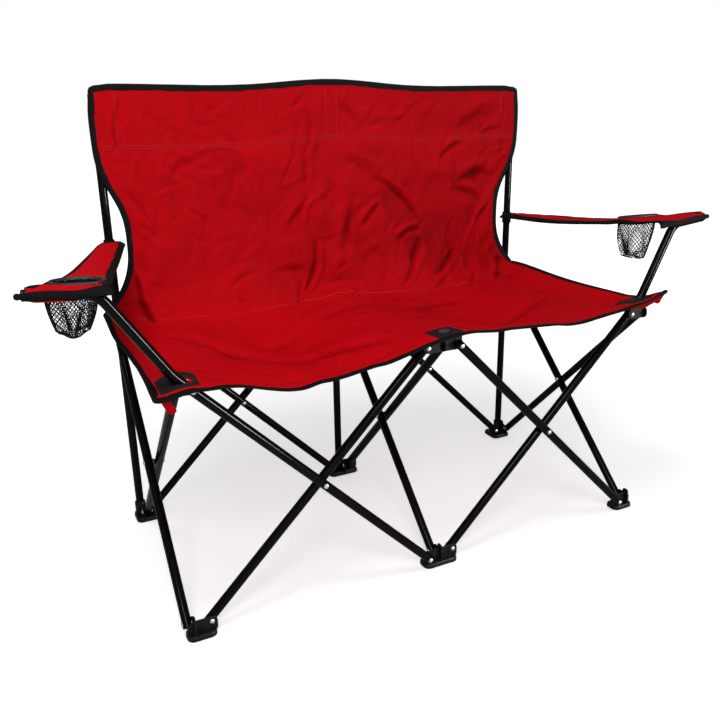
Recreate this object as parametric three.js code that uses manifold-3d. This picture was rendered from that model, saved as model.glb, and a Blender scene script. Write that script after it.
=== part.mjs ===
// Folding camping loveseat: seven crossed pairs of steel tubes, six feet, three front brackets,
// three rear sliders on upright posts, and a cloth seat, back and armrests with net cup holders.
// Millimetres. +Z is up, -Y is the front, X runs along the width, and the floor is at Z = 0.
import * as THREE from 'three';
import { mergeVertices } from 'three/addons/utils/BufferGeometryUtils.js';
import Module from 'manifold-3d';

const wasm = await Module();
wasm.setup();

// Crossed tubes. Every pair has the same span and rise, so all of them fold together.
const CROSS_SPAN = 410; // level distance between the two rivets of one tube
const LOW_PIVOT = 22; // height of the lower rivets
const HIGH_PIVOT = 428; // height of the upper rivets
const TUBE_D = 16;
const TUBE_WALL = 1.2;
const TUBE_END = 7; // tube beyond its last rivet
const END_GAP = 0.9; // room for a tube end to turn beside its neighbours
const TUBE_SIDES = 8;

// Gaps and rivets
const GAP = 0.3; // between pieces that touch
const PIN_D = 5;
const PIN_SIDES = 6;
const PIN_GAP = 0.2; // round a rivet in its tube
const HEAD_D = 9.6;
const HEAD_H = 1.8;
const HEAD_SIDES = 6;

// Plastic feet, brackets and sliders
const WEB = 2.4; // wall that stands between two crossed tubes
const WEB_RIM = 9.5; // plastic round a rivet
const WEB_TOP = 12; // from the upper rivets to the top of a bracket
const PAD_H = 9;
const PAD_RIM = 7; // pad beyond the rivets
const PAD_OUT = 14; // pad beyond the outer foot lines
const PAD_FRONT = 13; // pad in front of the front line
const PAD_REAR = 32; // pad behind the rear line
const PAD_ROUND = 12;
const SOCKET_WALL = 2.6;
const SOCKET_H = 25;
const SLIDE_GAP = 0.4; // round a post in its slider
const COLLAR_WALL = 3.4;
const COLLAR_DROP = 17; // collar below the upper rivets

// Back posts
const POST_BACK = 17; // posts behind the rear line
const SIDE_POST_TOP = 850;
const CENTRE_POST_RISE = 10; // centre post above the side posts
const CAP_H = 4;
const STEM = 12; // plug inside a tube

// Arm tubes
const CORNER_RUN = 16; // straight run past the front corner rivet
const ARM_SLOPE = 58; // degrees, the arm post's rise
const ARM_BAR_Z = 593;
const ARM_REACH = 647; // tube end, from the middle of the seat
const BEND_R = 40;
const BEND_STEPS = 5;

// Cloth
const CLOTH = 2.4;
const SEAT_OVER = 16; // seat past the outer foot lines
const SEAT_FRONT = 32; // seat beyond the front line
const SEAT_REAR = 3; // seat behind the rear line
const SUPPORT = 45; // cloth that stays level beside each support
const FRONT_SAG = 20;
const MIDDLE_SAG = 34;
const SPINE_SAG = 8;
const SLOT_GAP = 1.6; // round the arm tube where it comes through the cloth
const BACK_FOOT = 18; // back's lower edge above the upper rivets
const BACK_RISE = 14; // back's top edge above the side posts
const BACK_PEAK = 13; // rise of the top edge over the centre post
const BACK_OVER = 12; // back past the outer foot lines
const WAIST_IN = 48; // how far the back's sides draw in
const WAIST_Z = 586;
const WAIST_REACH = 106; // height over which they draw in, each way
const BACK_BULGE = 16;
const SCOOP = 34; // back's foot and the seat's rear edge come forward between supports
const SCOOP_SHARE = 0.3; // of the back's height
const FOLD_DEPTH = 5;
const FOLD_PITCH = 118;
const POCKET_FOOT = 752; // where the post pockets start
const ARM_REAR_Z = 581; // armrest's height at the post
const ARM_TIP = 4; // armrest past the tube end
const ARM_FRONT_WIDTH = 130;
const ARM_REAR_WIDTH = 54;
const LOOP_H = 46; // armrest's loop round the post
const SLEEVE_TUCK = 6; // sleeve short of the bend and of the tube end
const LEFT_CUP_BACK = 72; // cup holder's centre behind the arm bar
const LEFT_CUP_IN = 0; // and inside the armrest's middle line
const RIGHT_CUP_BACK = 100;
const RIGHT_CUP_IN = 8;
const CUP_D = 77; // hole in the armrest
const RING_WIDTH = 9;
const RING_H = 4;
const ROUND_SHARE = 0.6; // height of a ring or cap at which its rounding starts
const CROWN_SHARE = 0.7; // width of a cap's flat crown
const NET_DEPTH = 80;
const NET_FLOOR_D = 50;
const NET_WALL = 1.6;
const NET_FLANGE = 5;
const PATCH = 56; // side of a reinforcing patch
const PATCH_T = 1.6;
const PATCH_EDGE = 4; // cloth left round a patch
const TAB_WIDTH = 18;
const TAB_DROP = 34;
const TAB_STRAP = 4.5;
const ROUND_SIDES = 16;

// Worked out from the sizes above
const tubeR = TUBE_D / 2;
const planeShift = tubeR + GAP + WEB / 2; // from the wall between two tubes to each tube's axis
const endReach = Math.hypot(TUBE_END, tubeR); // circle that a tube end sweeps round its rivet
const widthInset = planeShift + tubeR + endReach + END_GAP; // from a foot's line to its rivets along X
const depthInset = endReach + WEB / 2 + END_GAP; // and along Y
const pitch = CROSS_SPAN + 2 * widthInset;
const frontY = -CROSS_SPAN / 2 - depthInset;
const rearY = -frontY;
const boreR = tubeR - TUBE_WALL;
const stemR = boreR * Math.cos(Math.PI / TUBE_SIDES) - GAP; // clears the flats of the bore
const pinHoleR = (PIN_D / 2 + PIN_GAP) / Math.cos(Math.PI / PIN_SIDES); // flats clear a turning rivet
const middleZ = (HIGH_PIVOT + LOW_PIVOT) / 2;
const postY = rearY + POST_BACK;
const columns = { left: -pitch, centre: 0, right: pitch };
const rows = { front: frontY, rear: rearY };
const seatHalf = pitch + SEAT_OVER;
const backEdge = pitch + BACK_OVER;
const backTop = SIDE_POST_TOP + BACK_RISE;
const seatZ = HIGH_PIVOT + WEB_TOP + GAP; // underside of the seat at its supports
const armTopZ = ARM_BAR_Z + tubeR + GAP; // underside of the armrest over the arm bar
const X = new THREE.Vector3(1, 0, 0);
const Y = new THREE.Vector3(0, 1, 0);
const Z = new THREE.Vector3(0, 0, 1);
const vec = (x, y, z) => new THREE.Vector3(x, y, z);

// Finishes
const finishes = {
  steel: { color: 0x121214, roughness: 0.32, metalness: 0.6 },
  plastic: { color: 0x161617, roughness: 0.5, metalness: 0 },
  rivet: { color: 0xb9bbbe, roughness: 0.3, metalness: 1 },
  cloth: { color: 0xb8141c, roughness: 0.85, metalness: 0 },
  webbing: { color: 0x17171a, roughness: 0.8, metalness: 0 },
  net: { color: 0x1b1b1d, roughness: 0.8, metalness: 0 },
};
const group = new THREE.Group();

function add(name, geometry, finish) {
  const mesh = new THREE.Mesh(geometry, new THREE.MeshStandardMaterial(finishes[finish]));
  mesh.name = name;
  group.add(mesh);
}

// Booleans
function solid(geometry) {
  const bare = new THREE.BufferGeometry();
  bare.setAttribute('position', geometry.getAttribute('position'));
  if (geometry.index) bare.setIndex(geometry.index);
  const welded = mergeVertices(bare, 1e-4);
  const vertProperties = new Float32Array(welded.getAttribute('position').array);
  const triVerts = new Uint32Array(welded.index.array);
  return new wasm.Manifold(new wasm.Mesh({ numProp: 3, vertProperties, triVerts }));
}

function surface(manifold) {
  const mesh = manifold.getMesh();
  const geometry = new THREE.BufferGeometry();
  geometry.setAttribute('position', new THREE.BufferAttribute(new Float32Array(mesh.vertProperties), 3));
  geometry.setIndex(new THREE.BufferAttribute(new Uint32Array(mesh.triVerts), 1));
  geometry.computeVertexNormals();
  return geometry;
}

const join = (solids) => solids.reduce((whole, next) => whole.add(next));
const cut = (whole, holes) => holes.reduce((left, hole) => left.subtract(hole), whole);

// Shapes
function rod(start, end, radius, sides = TUBE_SIDES) {
  const run = end.clone().sub(start);
  const geometry = new THREE.CylinderGeometry(radius, radius, run.length(), sides);
  const turn = new THREE.Quaternion().setFromUnitVectors(Y, run.clone().normalize());
  geometry.applyQuaternion(turn);
  const centre = start.clone().add(end).multiplyScalar(0.5);
  geometry.translate(centre.x, centre.y, centre.z);
  return solid(geometry);
}

// Rod along a bent path in a plane that stands square to Y
function bentRod(path, radius) {
  const points = [];
  const faces = [];
  path.forEach((point, i) => {
    const before = path[Math.max(i - 1, 0)];
    const after = path[Math.min(i + 1, path.length - 1)];
    const heading = after.clone().sub(before).normalize();
    const across = new THREE.Vector3().crossVectors(heading, Y);
    for (let k = 0; k < TUBE_SIDES; k += 1) {
      const angle = (2 * Math.PI * k) / TUBE_SIDES;
      const spot = point.clone().addScaledVector(Y, radius * Math.cos(angle));
      spot.addScaledVector(across, radius * Math.sin(angle));
      points.push(spot);
    }
  });
  const ring = (i, k) => i * TUBE_SIDES + (k % TUBE_SIDES);
  for (let i = 0; i < path.length - 1; i += 1) {
    for (let k = 0; k < TUBE_SIDES; k += 1) {
      faces.push(ring(i, k), ring(i, k + 1), ring(i + 1, k));
      faces.push(ring(i, k + 1), ring(i + 1, k + 1), ring(i + 1, k));
    }
  }
  const last = path.length - 1;
  for (let k = 1; k < TUBE_SIDES - 1; k += 1) {
    faces.push(ring(0, 0), ring(0, k + 1), ring(0, k));
    faces.push(ring(last, 0), ring(last, k), ring(last, k + 1));
  }
  const geometry = new THREE.BufferGeometry().setFromPoints(points);
  geometry.setIndex(faces);
  return solid(geometry);
}

// Path with its corners turned into arcs
function roundedPath(corners) {
  const path = [corners[0]];
  for (let i = 1; i < corners.length - 1; i += 1) {
    const back = corners[i - 1].clone().sub(corners[i]).normalize();
    const on = corners[i + 1].clone().sub(corners[i]).normalize();
    const half = back.angleTo(on) / 2;
    const middle = back.clone().add(on).normalize();
    const hub = corners[i].clone().addScaledVector(middle, BEND_R / Math.sin(half));
    const from = corners[i].clone().addScaledVector(back, BEND_R / Math.tan(half)).sub(hub);
    const to = corners[i].clone().addScaledVector(on, BEND_R / Math.tan(half)).sub(hub);
    const axis = new THREE.Vector3().crossVectors(from, to).normalize();
    for (let k = 0; k <= BEND_STEPS; k += 1) {
      const turned = from.clone().applyAxisAngle(axis, (from.angleTo(to) * k) / BEND_STEPS);
      path.push(hub.clone().add(turned));
    }
  }
  path.push(corners[corners.length - 1]);
  return path;
}

// Plate with rounded corners, standing square to an axis
function plate(axis, at, thickness, a0, a1, b0, b1, round) {
  const r = Math.min(round, (a1 - a0) / 2 - 0.01, (b1 - b0) / 2 - 0.01);
  const outline = new THREE.Shape();
  outline.absarc(a1 - r, b1 - r, r, 0, Math.PI / 2);
  outline.absarc(a0 + r, b1 - r, r, Math.PI / 2, Math.PI);
  outline.absarc(a0 + r, b0 + r, r, Math.PI, 1.5 * Math.PI);
  outline.absarc(a1 - r, b0 + r, r, 1.5 * Math.PI, 2 * Math.PI);
  const extrusion = { depth: thickness, bevelEnabled: false, curveSegments: 2 };
  const geometry = new THREE.ExtrudeGeometry(outline, extrusion);
  geometry.translate(0, 0, -thickness / 2);
  const sides = { x: [Y, Z, X], y: [X, Z, Y.clone().negate()], z: [X, Y, Z] };
  geometry.applyMatrix4(new THREE.Matrix4().makeBasis(...sides[axis]));
  geometry.translate(axis === 'x' ? at : 0, axis === 'y' ? at : 0, axis === 'z' ? at : 0);
  return solid(geometry);
}

// Closed sheet of cloth: spot(u, v, face) gives its two faces, 0 and 1
function sheet(across, along, spot) {
  const points = [];
  const faces = [];
  const size = (across + 1) * (along + 1);
  for (let face = 0; face < 2; face += 1) {
    for (let j = 0; j <= along; j += 1) {
      for (let i = 0; i <= across; i += 1) points.push(spot(i / across, j / along, face));
    }
  }
  const id = (i, j, face) => face * size + j * (across + 1) + i;
  const quad = (a, b, c, d) => faces.push(a, b, c, a, c, d);
  for (let j = 0; j < along; j += 1) {
    for (let i = 0; i < across; i += 1) {
      quad(id(i, j, 0), id(i, j + 1, 0), id(i + 1, j + 1, 0), id(i + 1, j, 0));
      quad(id(i, j, 1), id(i + 1, j, 1), id(i + 1, j + 1, 1), id(i, j + 1, 1));
    }
    quad(id(0, j, 0), id(0, j, 1), id(0, j + 1, 1), id(0, j + 1, 0));
    quad(id(across, j, 0), id(across, j + 1, 0), id(across, j + 1, 1), id(across, j, 1));
  }
  for (let i = 0; i < across; i += 1) {
    quad(id(i, 0, 0), id(i + 1, 0, 0), id(i + 1, 0, 1), id(i, 0, 1));
    quad(id(i, along, 0), id(i, along, 1), id(i + 1, along, 1), id(i + 1, along, 0));
  }
  const geometry = new THREE.BufferGeometry().setFromPoints(points);
  geometry.setIndex(faces);
  return solid(geometry);
}

function lathe(profile, sides = TUBE_SIDES) {
  const points = profile.map(([r, z]) => new THREE.Vector2(r, z));
  const geometry = new THREE.LatheGeometry(points, sides);
  geometry.rotateX(Math.PI / 2);
  return solid(geometry);
}

// Solid turned from +Z to another axis and moved
function placed(manifold, axis, at) {
  const turn = new THREE.Quaternion().setFromUnitVectors(Z, axis);
  const matrix = new THREE.Matrix4().compose(at, turn, vec(1, 1, 1));
  return manifold.transform(matrix.elements);
}

// Tubes. A falling tube runs down to the viewer's right, in front of the wall that parts a pair;
// a rising tube runs up to the right, behind it.
const pin = (at, axis, length, radius) => rod(
  at.clone().addScaledVector(axis, -length),
  at.clone().addScaledVector(axis, length),
  radius,
  PIN_SIDES,
);

function hollowTube(path, holes, holeAxis) {
  const start = path[0].clone().sub(path[1]).normalize();
  const last = path.length - 1;
  const end = path[last].clone().sub(path[last - 1]).normalize();
  const longer = [path[0].clone().add(start), ...path.slice(1, last), path[last].clone().add(end)];
  const straight = path.length === 2;
  const outer = straight ? rod(path[0], path[1], tubeR) : bentRod(path, tubeR);
  const bore = straight ? rod(longer[0], longer[1], boreR) : bentRod(longer, boreR);
  const drilled = holes.map((at) => pin(at, holeAxis, TUBE_D, pinHoleR));
  return cut(outer, [bore, ...drilled]);
}

function crossTube(name, low, high, holeAxis) {
  const along = high.clone().sub(low).normalize();
  const start = low.clone().addScaledVector(along, -TUBE_END);
  const end = high.clone().addScaledVector(along, TUBE_END);
  const holes = [low, high, low.clone().add(high).multiplyScalar(0.5)];
  add(name, surface(hollowTube([start, end], holes, holeAxis)), 'steel');
}

// Front corner tubes run on past their rivet, up through the seat cloth, to carry an armrest
function armPath(side) {
  const y = frontY + side * planeShift;
  const low = vec(side * widthInset, y, LOW_PIVOT);
  const high = vec(side * (pitch - widthInset), y, HIGH_PIVOT);
  const along = high.clone().sub(low).normalize();
  const corner = high.clone().addScaledVector(along, CORNER_RUN);
  const armRun = (ARM_BAR_Z - corner.z) / Math.tan(THREE.MathUtils.degToRad(ARM_SLOPE));
  const elbow = vec(corner.x + side * armRun, y, ARM_BAR_Z);
  const tip = vec(side * ARM_REACH, y, ARM_BAR_Z);
  const start = low.clone().addScaledVector(along, -TUBE_END);
  return { low, high, elbow, tip, path: roundedPath([start, corner, elbow, tip]) };
}
const arms = { left: armPath(-1), right: armPath(1) };

for (const [name, arm] of Object.entries(arms)) {
  const holes = [arm.low, arm.high, arm.low.clone().add(arm.high).multiplyScalar(0.5)];
  add(`front_${name}_arm_tube`, surface(hollowTube(arm.path, holes, Y)), 'steel');
}

function rowTube(name, lowColumn, highColumn, row) {
  const side = Math.sign(columns[highColumn] - columns[lowColumn]); // +1 rises to the right
  const y = rows[row] + side * planeShift;
  const low = vec(columns[lowColumn] + side * widthInset, y, LOW_PIVOT);
  const high = vec(columns[highColumn] - side * widthInset, y, HIGH_PIVOT);
  crossTube(name, low, high, Y);
}
rowTube('front_left_leg_tube', 'left', 'centre', 'front');
rowTube('front_right_leg_tube', 'right', 'centre', 'front');
for (const side of ['left', 'right']) {
  rowTube(`rear_${side}_outer_tube`, side, 'centre', 'rear');
  rowTube(`rear_${side}_inner_tube`, 'centre', side, 'rear');
}

for (const [name, x] of Object.entries(columns)) {
  const rearX = x + planeShift;
  const frontX = x - planeShift;
  const near = frontY + depthInset;
  const far = rearY - depthInset;
  crossTube(`${name}_side_rear_tube`, vec(rearX, far, LOW_PIVOT), vec(rearX, near, HIGH_PIVOT), X);
  crossTube(`${name}_side_front_tube`, vec(frontX, near, LOW_PIVOT), vec(frontX, far, HIGH_PIVOT), X);
}

// Rivets at the crossings, each with its spacing washer
const rivetReach = planeShift + tubeR + GAP;
const rivetProfile = [
  [0, -rivetReach - HEAD_H], [HEAD_D / 4, -rivetReach - HEAD_H], [HEAD_D / 2, -rivetReach],
  [PIN_D / 2, -rivetReach], [PIN_D / 2, -WEB / 2], [HEAD_D / 2, -WEB / 2],
  [HEAD_D / 2, WEB / 2], [PIN_D / 2, WEB / 2], [PIN_D / 2, rivetReach],
  [HEAD_D / 2, rivetReach], [HEAD_D / 4, rivetReach + HEAD_H], [0, rivetReach + HEAD_H],
];
const rivet = (axis, at) => surface(placed(lathe(rivetProfile, HEAD_SIDES), axis, at));
for (const [row, y] of Object.entries(rows)) {
  add(`${row}_left_rivet`, rivet(Y, vec(-pitch / 2, y, middleZ)), 'rivet');
  add(`${row}_right_rivet`, rivet(Y, vec(pitch / 2, y, middleZ)), 'rivet');
}
for (const [name, x] of Object.entries(columns)) {
  add(`${name}_side_rivet`, rivet(X, vec(x, 0, middleZ)), 'rivet');
}

// Feet, brackets and sliders: two upright walls square to each other, with a rivet for each tube end
function endRivets(column, row, high) {
  const z = high ? HIGH_PIVOT : LOW_PIVOT;
  const found = [];
  for (const side of [-1, 1]) {
    if (columns[column] + side * pitch >= -pitch && columns[column] + side * pitch <= pitch) {
      const plane = high ? -side : side;
      found.push({ at: vec(columns[column] + side * widthInset, rows[row], z), axis: Y, plane });
    }
  }
  const inward = row === 'front' ? 1 : -1;
  const sidePlane = (row === 'front') === high ? 1 : -1;
  const at = vec(columns[column], rows[row] + inward * depthInset, z);
  found.push({ at, axis: X, plane: sidePlane });
  return found;
}

function endRivetSolids({ at, axis, plane }) {
  const tubeFar = planeShift + tubeR + GAP;
  const on = (distance) => at.clone().addScaledVector(axis, plane * distance);
  return [
    rod(on(0), on(tubeFar + HEAD_H / 2), PIN_D / 2, PIN_SIDES),
    rod(on(-WEB / 2 - HEAD_H), on(0), HEAD_D / 2, HEAD_SIDES),
    rod(on(tubeFar), on(tubeFar + HEAD_H), HEAD_D / 2, HEAD_SIDES),
  ];
}

function walls(rivets, column, row, z0, z1) {
  const x = columns[column];
  const y = rows[row];
  const xs = rivets.filter((r) => r.axis === Y).map((r) => r.at.x);
  const sideY = rivets.find((r) => r.axis === X).at.y;
  const inward = Math.sign(sideY - y);
  const x0 = Math.min(x - WEB_RIM, ...xs.map((at) => at - WEB_RIM));
  const x1 = Math.max(x + WEB_RIM, ...xs.map((at) => at + WEB_RIM));
  const ends = [y - inward * WEB_RIM, sideY + inward * WEB_RIM];
  return [
    plate('y', y, WEB, x0, x1, z0, z1, WEB_RIM),
    plate('x', x, WEB, Math.min(...ends), Math.max(...ends), z0, z1, WEB_RIM),
  ];
}

const postHole = (column, gap) => rod(
  vec(columns[column], postY, PAD_H),
  vec(columns[column], postY, SIDE_POST_TOP),
  tubeR + gap,
);

function foot(column, row) {
  const rivets = endRivets(column, row, false);
  const x = columns[column];
  const xs = rivets.filter((r) => r.axis === Y).map((r) => r.at.x);
  const x0 = column === 'left' ? x - PAD_OUT : Math.min(...xs) - PAD_RIM;
  const x1 = column === 'right' ? x + PAD_OUT : Math.max(...xs) + PAD_RIM;
  const y0 = row === 'front' ? frontY - PAD_FRONT : rearY - depthInset - PAD_RIM;
  const y1 = row === 'front' ? frontY + depthInset + PAD_RIM : rearY + PAD_REAR;
  const solids = [
    plate('z', PAD_H / 2, PAD_H, x0, x1, y0, y1, PAD_ROUND),
    ...walls(rivets, column, row, -WEB_RIM, LOW_PIVOT + WEB_RIM),
    ...rivets.flatMap(endRivetSolids),
  ];
  const wide = [x0 - pitch, x1 + pitch, y0 - pitch, y1 + pitch];
  const ground = plate('z', -PAD_H * 2, PAD_H * 4, ...wide, PAD_ROUND);
  const holes = [ground];
  if (row === 'rear') {
    const socketR = tubeR + GAP + SOCKET_WALL;
    solids.push(rod(vec(x, postY, PAD_H / 2), vec(x, postY, PAD_H + SOCKET_H), socketR));
    holes.push(postHole(column, GAP));
    const bolt = pin(vec(x, postY, LOW_PIVOT), X, socketR, PIN_D / 2);
    return join([cut(join(solids), holes), bolt]);
  }
  return cut(join(solids), holes);
}

function bracket(column) {
  const rivets = endRivets(column, 'front', true);
  const upright = walls(rivets, column, 'front', HIGH_PIVOT - WEB_RIM, HIGH_PIVOT + WEB_TOP);
  return join([...upright, ...rivets.flatMap(endRivetSolids)]);
}

function slider(column) {
  const rivets = endRivets(column, 'rear', true);
  const x = columns[column];
  const z0 = HIGH_PIVOT - WEB_RIM;
  const z1 = HIGH_PIVOT + WEB_TOP;
  const collarR = tubeR + SLIDE_GAP + COLLAR_WALL;
  const solids = [
    ...walls(rivets, column, 'rear', z0, z1),
    plate('x', x, WEB, rearY - WEB_RIM, postY, z0, z1, WEB),
    rod(vec(x, postY, HIGH_PIVOT - COLLAR_DROP), vec(x, postY, z1), collarR),
    ...rivets.flatMap(endRivetSolids),
  ];
  return cut(join(solids), [postHole(column, SLIDE_GAP)]);
}

for (const column of Object.keys(columns)) {
  add(`front_${column}_foot`, surface(foot(column, 'front')), 'plastic');
  add(`rear_${column}_foot`, surface(foot(column, 'rear')), 'plastic');
  add(`front_${column}_bracket`, surface(bracket(column)), 'plastic');
  add(`rear_${column}_slider`, surface(slider(column)), 'plastic');
}

// Posts and the plugs in the open tube ends
const plugProfile = [
  [0, -STEM], [stemR, -STEM], [stemR, GAP], [tubeR, GAP],
  [tubeR, CAP_H * ROUND_SHARE], [tubeR * CROWN_SHARE, CAP_H], [0, CAP_H],
];
const plug = (axis, at) => surface(placed(lathe(plugProfile), axis, at));
const postTop = (column) => SIDE_POST_TOP + (column === 'centre' ? CENTRE_POST_RISE : 0);
for (const [column, x] of Object.entries(columns)) {
  const top = vec(x, postY, postTop(column));
  const tube = hollowTube([vec(x, postY, PAD_H + GAP), top], [vec(x, postY, LOW_PIVOT)], X);
  add(`${column}_back_post`, surface(tube), 'steel');
  add(`${column}_post_cap`, plug(Z, top), 'plastic');
}
add('left_arm_plug', plug(X.clone().negate(), arms.left.tip), 'plastic');
add('right_arm_plug', plug(X, arms.right.tip), 'plastic');

// Seat cloth, in a front and a rear panel that meet at the fold line
const swell = (t) => Math.sin(Math.PI * THREE.MathUtils.clamp(t, 0, 1)) ** 2;
const bay = (x) => swell((Math.abs(x) - SUPPORT) / (pitch - 2 * SUPPORT)); // 1 in the middle of a seat

function seatSag(x, y) {
  const along = swell((y - frontY - SUPPORT) / (rearY - frontY - 2 * SUPPORT));
  return bay(x) * (FRONT_SAG + (MIDDLE_SAG - FRONT_SAG) * along) + SPINE_SAG * along;
}

function seatPanel(y0, y1, scoop) {
  return sheet(22, 5, (u, v, face) => {
    const x = (2 * u - 1) * seatHalf;
    const y = y0 + v * (y1 - y0 - scoop * bay(x));
    return vec(x, y, seatZ - seatSag(x, y) + face * CLOTH);
  });
}
const armHoles = Object.values(arms).map((arm) => bentRod(arm.path, tubeR + SLOT_GAP));
const seatFrontY = frontY - SEAT_FRONT;
add('seat_front_panel', surface(cut(seatPanel(seatFrontY, -GAP / 2, 0), armHoles)), 'cloth');
add('seat_rear_panel', surface(seatPanel(GAP / 2, rearY + SEAT_REAR, SCOOP)), 'cloth');

// Black patches over the front brackets, and the strap loops under the front corners
const patchZ = seatZ + CLOTH + GAP + PATCH_T / 2;
const patchY0 = seatFrontY + PATCH_EDGE;
const cornerX = seatHalf - PATCH_EDGE - PATCH / 2;
for (const [name, x] of Object.entries({ left: -cornerX, centre: 0, right: cornerX })) {
  const ends = [x - PATCH / 2, x + PATCH / 2];
  const piece = plate('z', patchZ, PATCH_T, ...ends, patchY0, patchY0 + PATCH, PATCH_T);
  add(`${name}_seat_patch`, surface(cut(piece, armHoles)), 'webbing');
}
for (const [name, side] of Object.entries({ left: -1, right: 1 })) {
  const x = side * (seatHalf - CLOTH);
  const top = seatZ - GAP;
  const foot = top - TAB_DROP;
  const ends = [patchY0, patchY0 + TAB_WIDTH];
  const strap = plate('x', x, CLOTH, ...ends, foot, top, TAB_STRAP);
  const eyeEnds = [ends[0] + TAB_STRAP, ends[1] - TAB_STRAP];
  const eye = plate('x', x, CLOTH * 2, ...eyeEnds, foot + TAB_STRAP, top - TAB_STRAP, TAB_STRAP);
  add(`${name}_corner_loop`, surface(cut(strap, [eye])), 'cloth');
}

// Back cloth, with a pocket over each post
const backFootZ = HIGH_PIVOT + BACK_FOOT;
const backY = postY - tubeR - GAP - CLOTH; // front face at the posts
const waist = (z) => Math.exp(-(Math.abs((z - WAIST_Z) / WAIST_REACH) ** 3)); // 1 at the narrowest

function backSpot(u, v, face) {
  const level = backFootZ + v * (backTop - backFootZ);
  const x = (2 * u - 1) * (backEdge - WAIST_IN * waist(level));
  const peak = BACK_PEAK * Math.exp(-((x / (pitch / 3)) ** 2));
  const z = level + v * peak - (1 - v) * FRONT_SAG * bay(x);
  const fold = FOLD_DEPTH * Math.sin((2 * Math.PI * x) / FOLD_PITCH) * v * (1 - v);
  const scoop = SCOOP * Math.max(1 - v / SCOOP_SHARE, 0) ** 2;
  const y = backY + bay(x) * (BACK_BULGE * swell(v) + fold - scoop);
  return vec(x, y + (1 - face) * CLOTH, z);
}

function backCloth() {
  const pockets = [];
  const holes = [];
  for (const [column, x] of Object.entries(columns)) {
    const roof = postTop(column) + CAP_H + GAP;
    const ends = [vec(x, postY, POCKET_FOOT), vec(x, postY, roof + CLOTH)];
    pockets.push(rod(...ends, tubeR + GAP + CLOTH));
    holes.push(rod(vec(x, postY, backFootZ), vec(x, postY, roof), tubeR + GAP));
  }
  return cut(join([sheet(28, 12, backSpot), ...pockets]), holes);
}
add('back_panel', surface(backCloth()), 'cloth');

// Armrests: a sleeve on the arm bar, a loop round the post, and a cup holder between
const cups = {
  left: { back: LEFT_CUP_BACK, inward: LEFT_CUP_IN },
  right: { back: RIGHT_CUP_BACK, inward: RIGHT_CUP_IN },
};
for (const [name, arm] of Object.entries(arms)) {
  const side = Math.sign(arm.tip.x);
  const barY = arm.tip.y;
  const rearEnd = postY - tubeR;
  const fall = (ARM_REAR_Z - armTopZ) / (rearEnd - barY);
  const armZ = (y) => armTopZ + fall * (y - barY);
  const tilt = vec(0, -fall, 1).normalize();
  const outer = ARM_REACH + ARM_TIP;
  const middle = (v) => side * THREE.MathUtils.lerp(outer - ARM_FRONT_WIDTH / 2, pitch, v);
  const cloth = sheet(4, 6, (u, v, face) => {
    const width = THREE.MathUtils.lerp(ARM_FRONT_WIDTH, ARM_REAR_WIDTH, v);
    const y = barY + v * (rearEnd - barY);
    return vec(middle(v) + (u - 0.5) * width, y, armZ(y) + face * CLOTH);
  });
  const bendRun = BEND_R * Math.tan(THREE.MathUtils.degToRad(ARM_SLOPE / 2));
  const sleeveX = [arm.elbow.x + side * (bendRun + SLEEVE_TUCK), arm.tip.x - side * SLEEVE_TUCK];
  const clothR = tubeR + GAP + CLOTH;
  const sleeve = rod(vec(sleeveX[0], barY, ARM_BAR_Z), vec(sleeveX[1], barY, ARM_BAR_Z), clothR);
  const loopZ = ARM_REAR_Z - LOOP_H / 2;
  const loopEnds = [vec(side * pitch, postY, loopZ), vec(side * pitch, postY, loopZ + LOOP_H)];
  const loop = rod(...loopEnds, clothR);
  const { back, inward } = cups[name];
  const cupY = barY + back;
  const cupX = middle(back / (rearEnd - barY)) - side * inward;
  const seat = vec(cupX, cupY, armZ(cupY));
  const above = seat.clone().addScaledVector(tilt, 2 * CLOTH);
  const below = seat.clone().addScaledVector(tilt, -CLOTH);
  const bar = [vec(arm.elbow.x, barY, ARM_BAR_Z), vec(arm.tip.x + side * CAP_H, barY, ARM_BAR_Z)];
  const holes = [
    bentRod(bar, tubeR + GAP),
    postHole(name, GAP),
    rod(below, above, CUP_D / 2, ROUND_SIDES),
  ];
  add(`${name}_armrest`, surface(cut(join([cloth, sleeve, loop]), holes)), 'cloth');

  const ringIn = CUP_D / 2 - RING_WIDTH / 2;
  const ringOut = CUP_D / 2 + RING_WIDTH / 2;
  const ringProfile = [
    [ringIn, 0], [ringOut, 0], [ringOut, RING_H * ROUND_SHARE],
    [CUP_D / 2, RING_H], [ringIn, RING_H * ROUND_SHARE], [ringIn, 0],
  ];
  const ringSeat = seat.clone().addScaledVector(tilt, CLOTH + GAP);
  add(`${name}_cup_ring`, surface(placed(lathe(ringProfile, ROUND_SIDES), tilt, ringSeat)), 'webbing');

  const netR = CUP_D / 2 - GAP;
  const floorR = NET_FLOOR_D / 2;
  const netProfile = [
    [0, -NET_DEPTH], [floorR, -NET_DEPTH], [netR, -NET_WALL],
    [netR + NET_FLANGE, -NET_WALL], [netR + NET_FLANGE, 0], [netR - NET_WALL, 0],
    [floorR - NET_WALL, -NET_DEPTH + NET_WALL], [0, -NET_DEPTH + NET_WALL],
  ];
  const netSeat = seat.clone().addScaledVector(tilt, -GAP);
  add(`${name}_cup_net`, surface(placed(lathe(netProfile, ROUND_SIDES), tilt, netSeat)), 'net');
}

export default group;
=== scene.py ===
"""Red folding camping loveseat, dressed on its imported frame. Metres, +Z is up and -Y is the front."""

import math

import bpy
import numpy as np
from mathutils import Matrix, Vector


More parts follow.
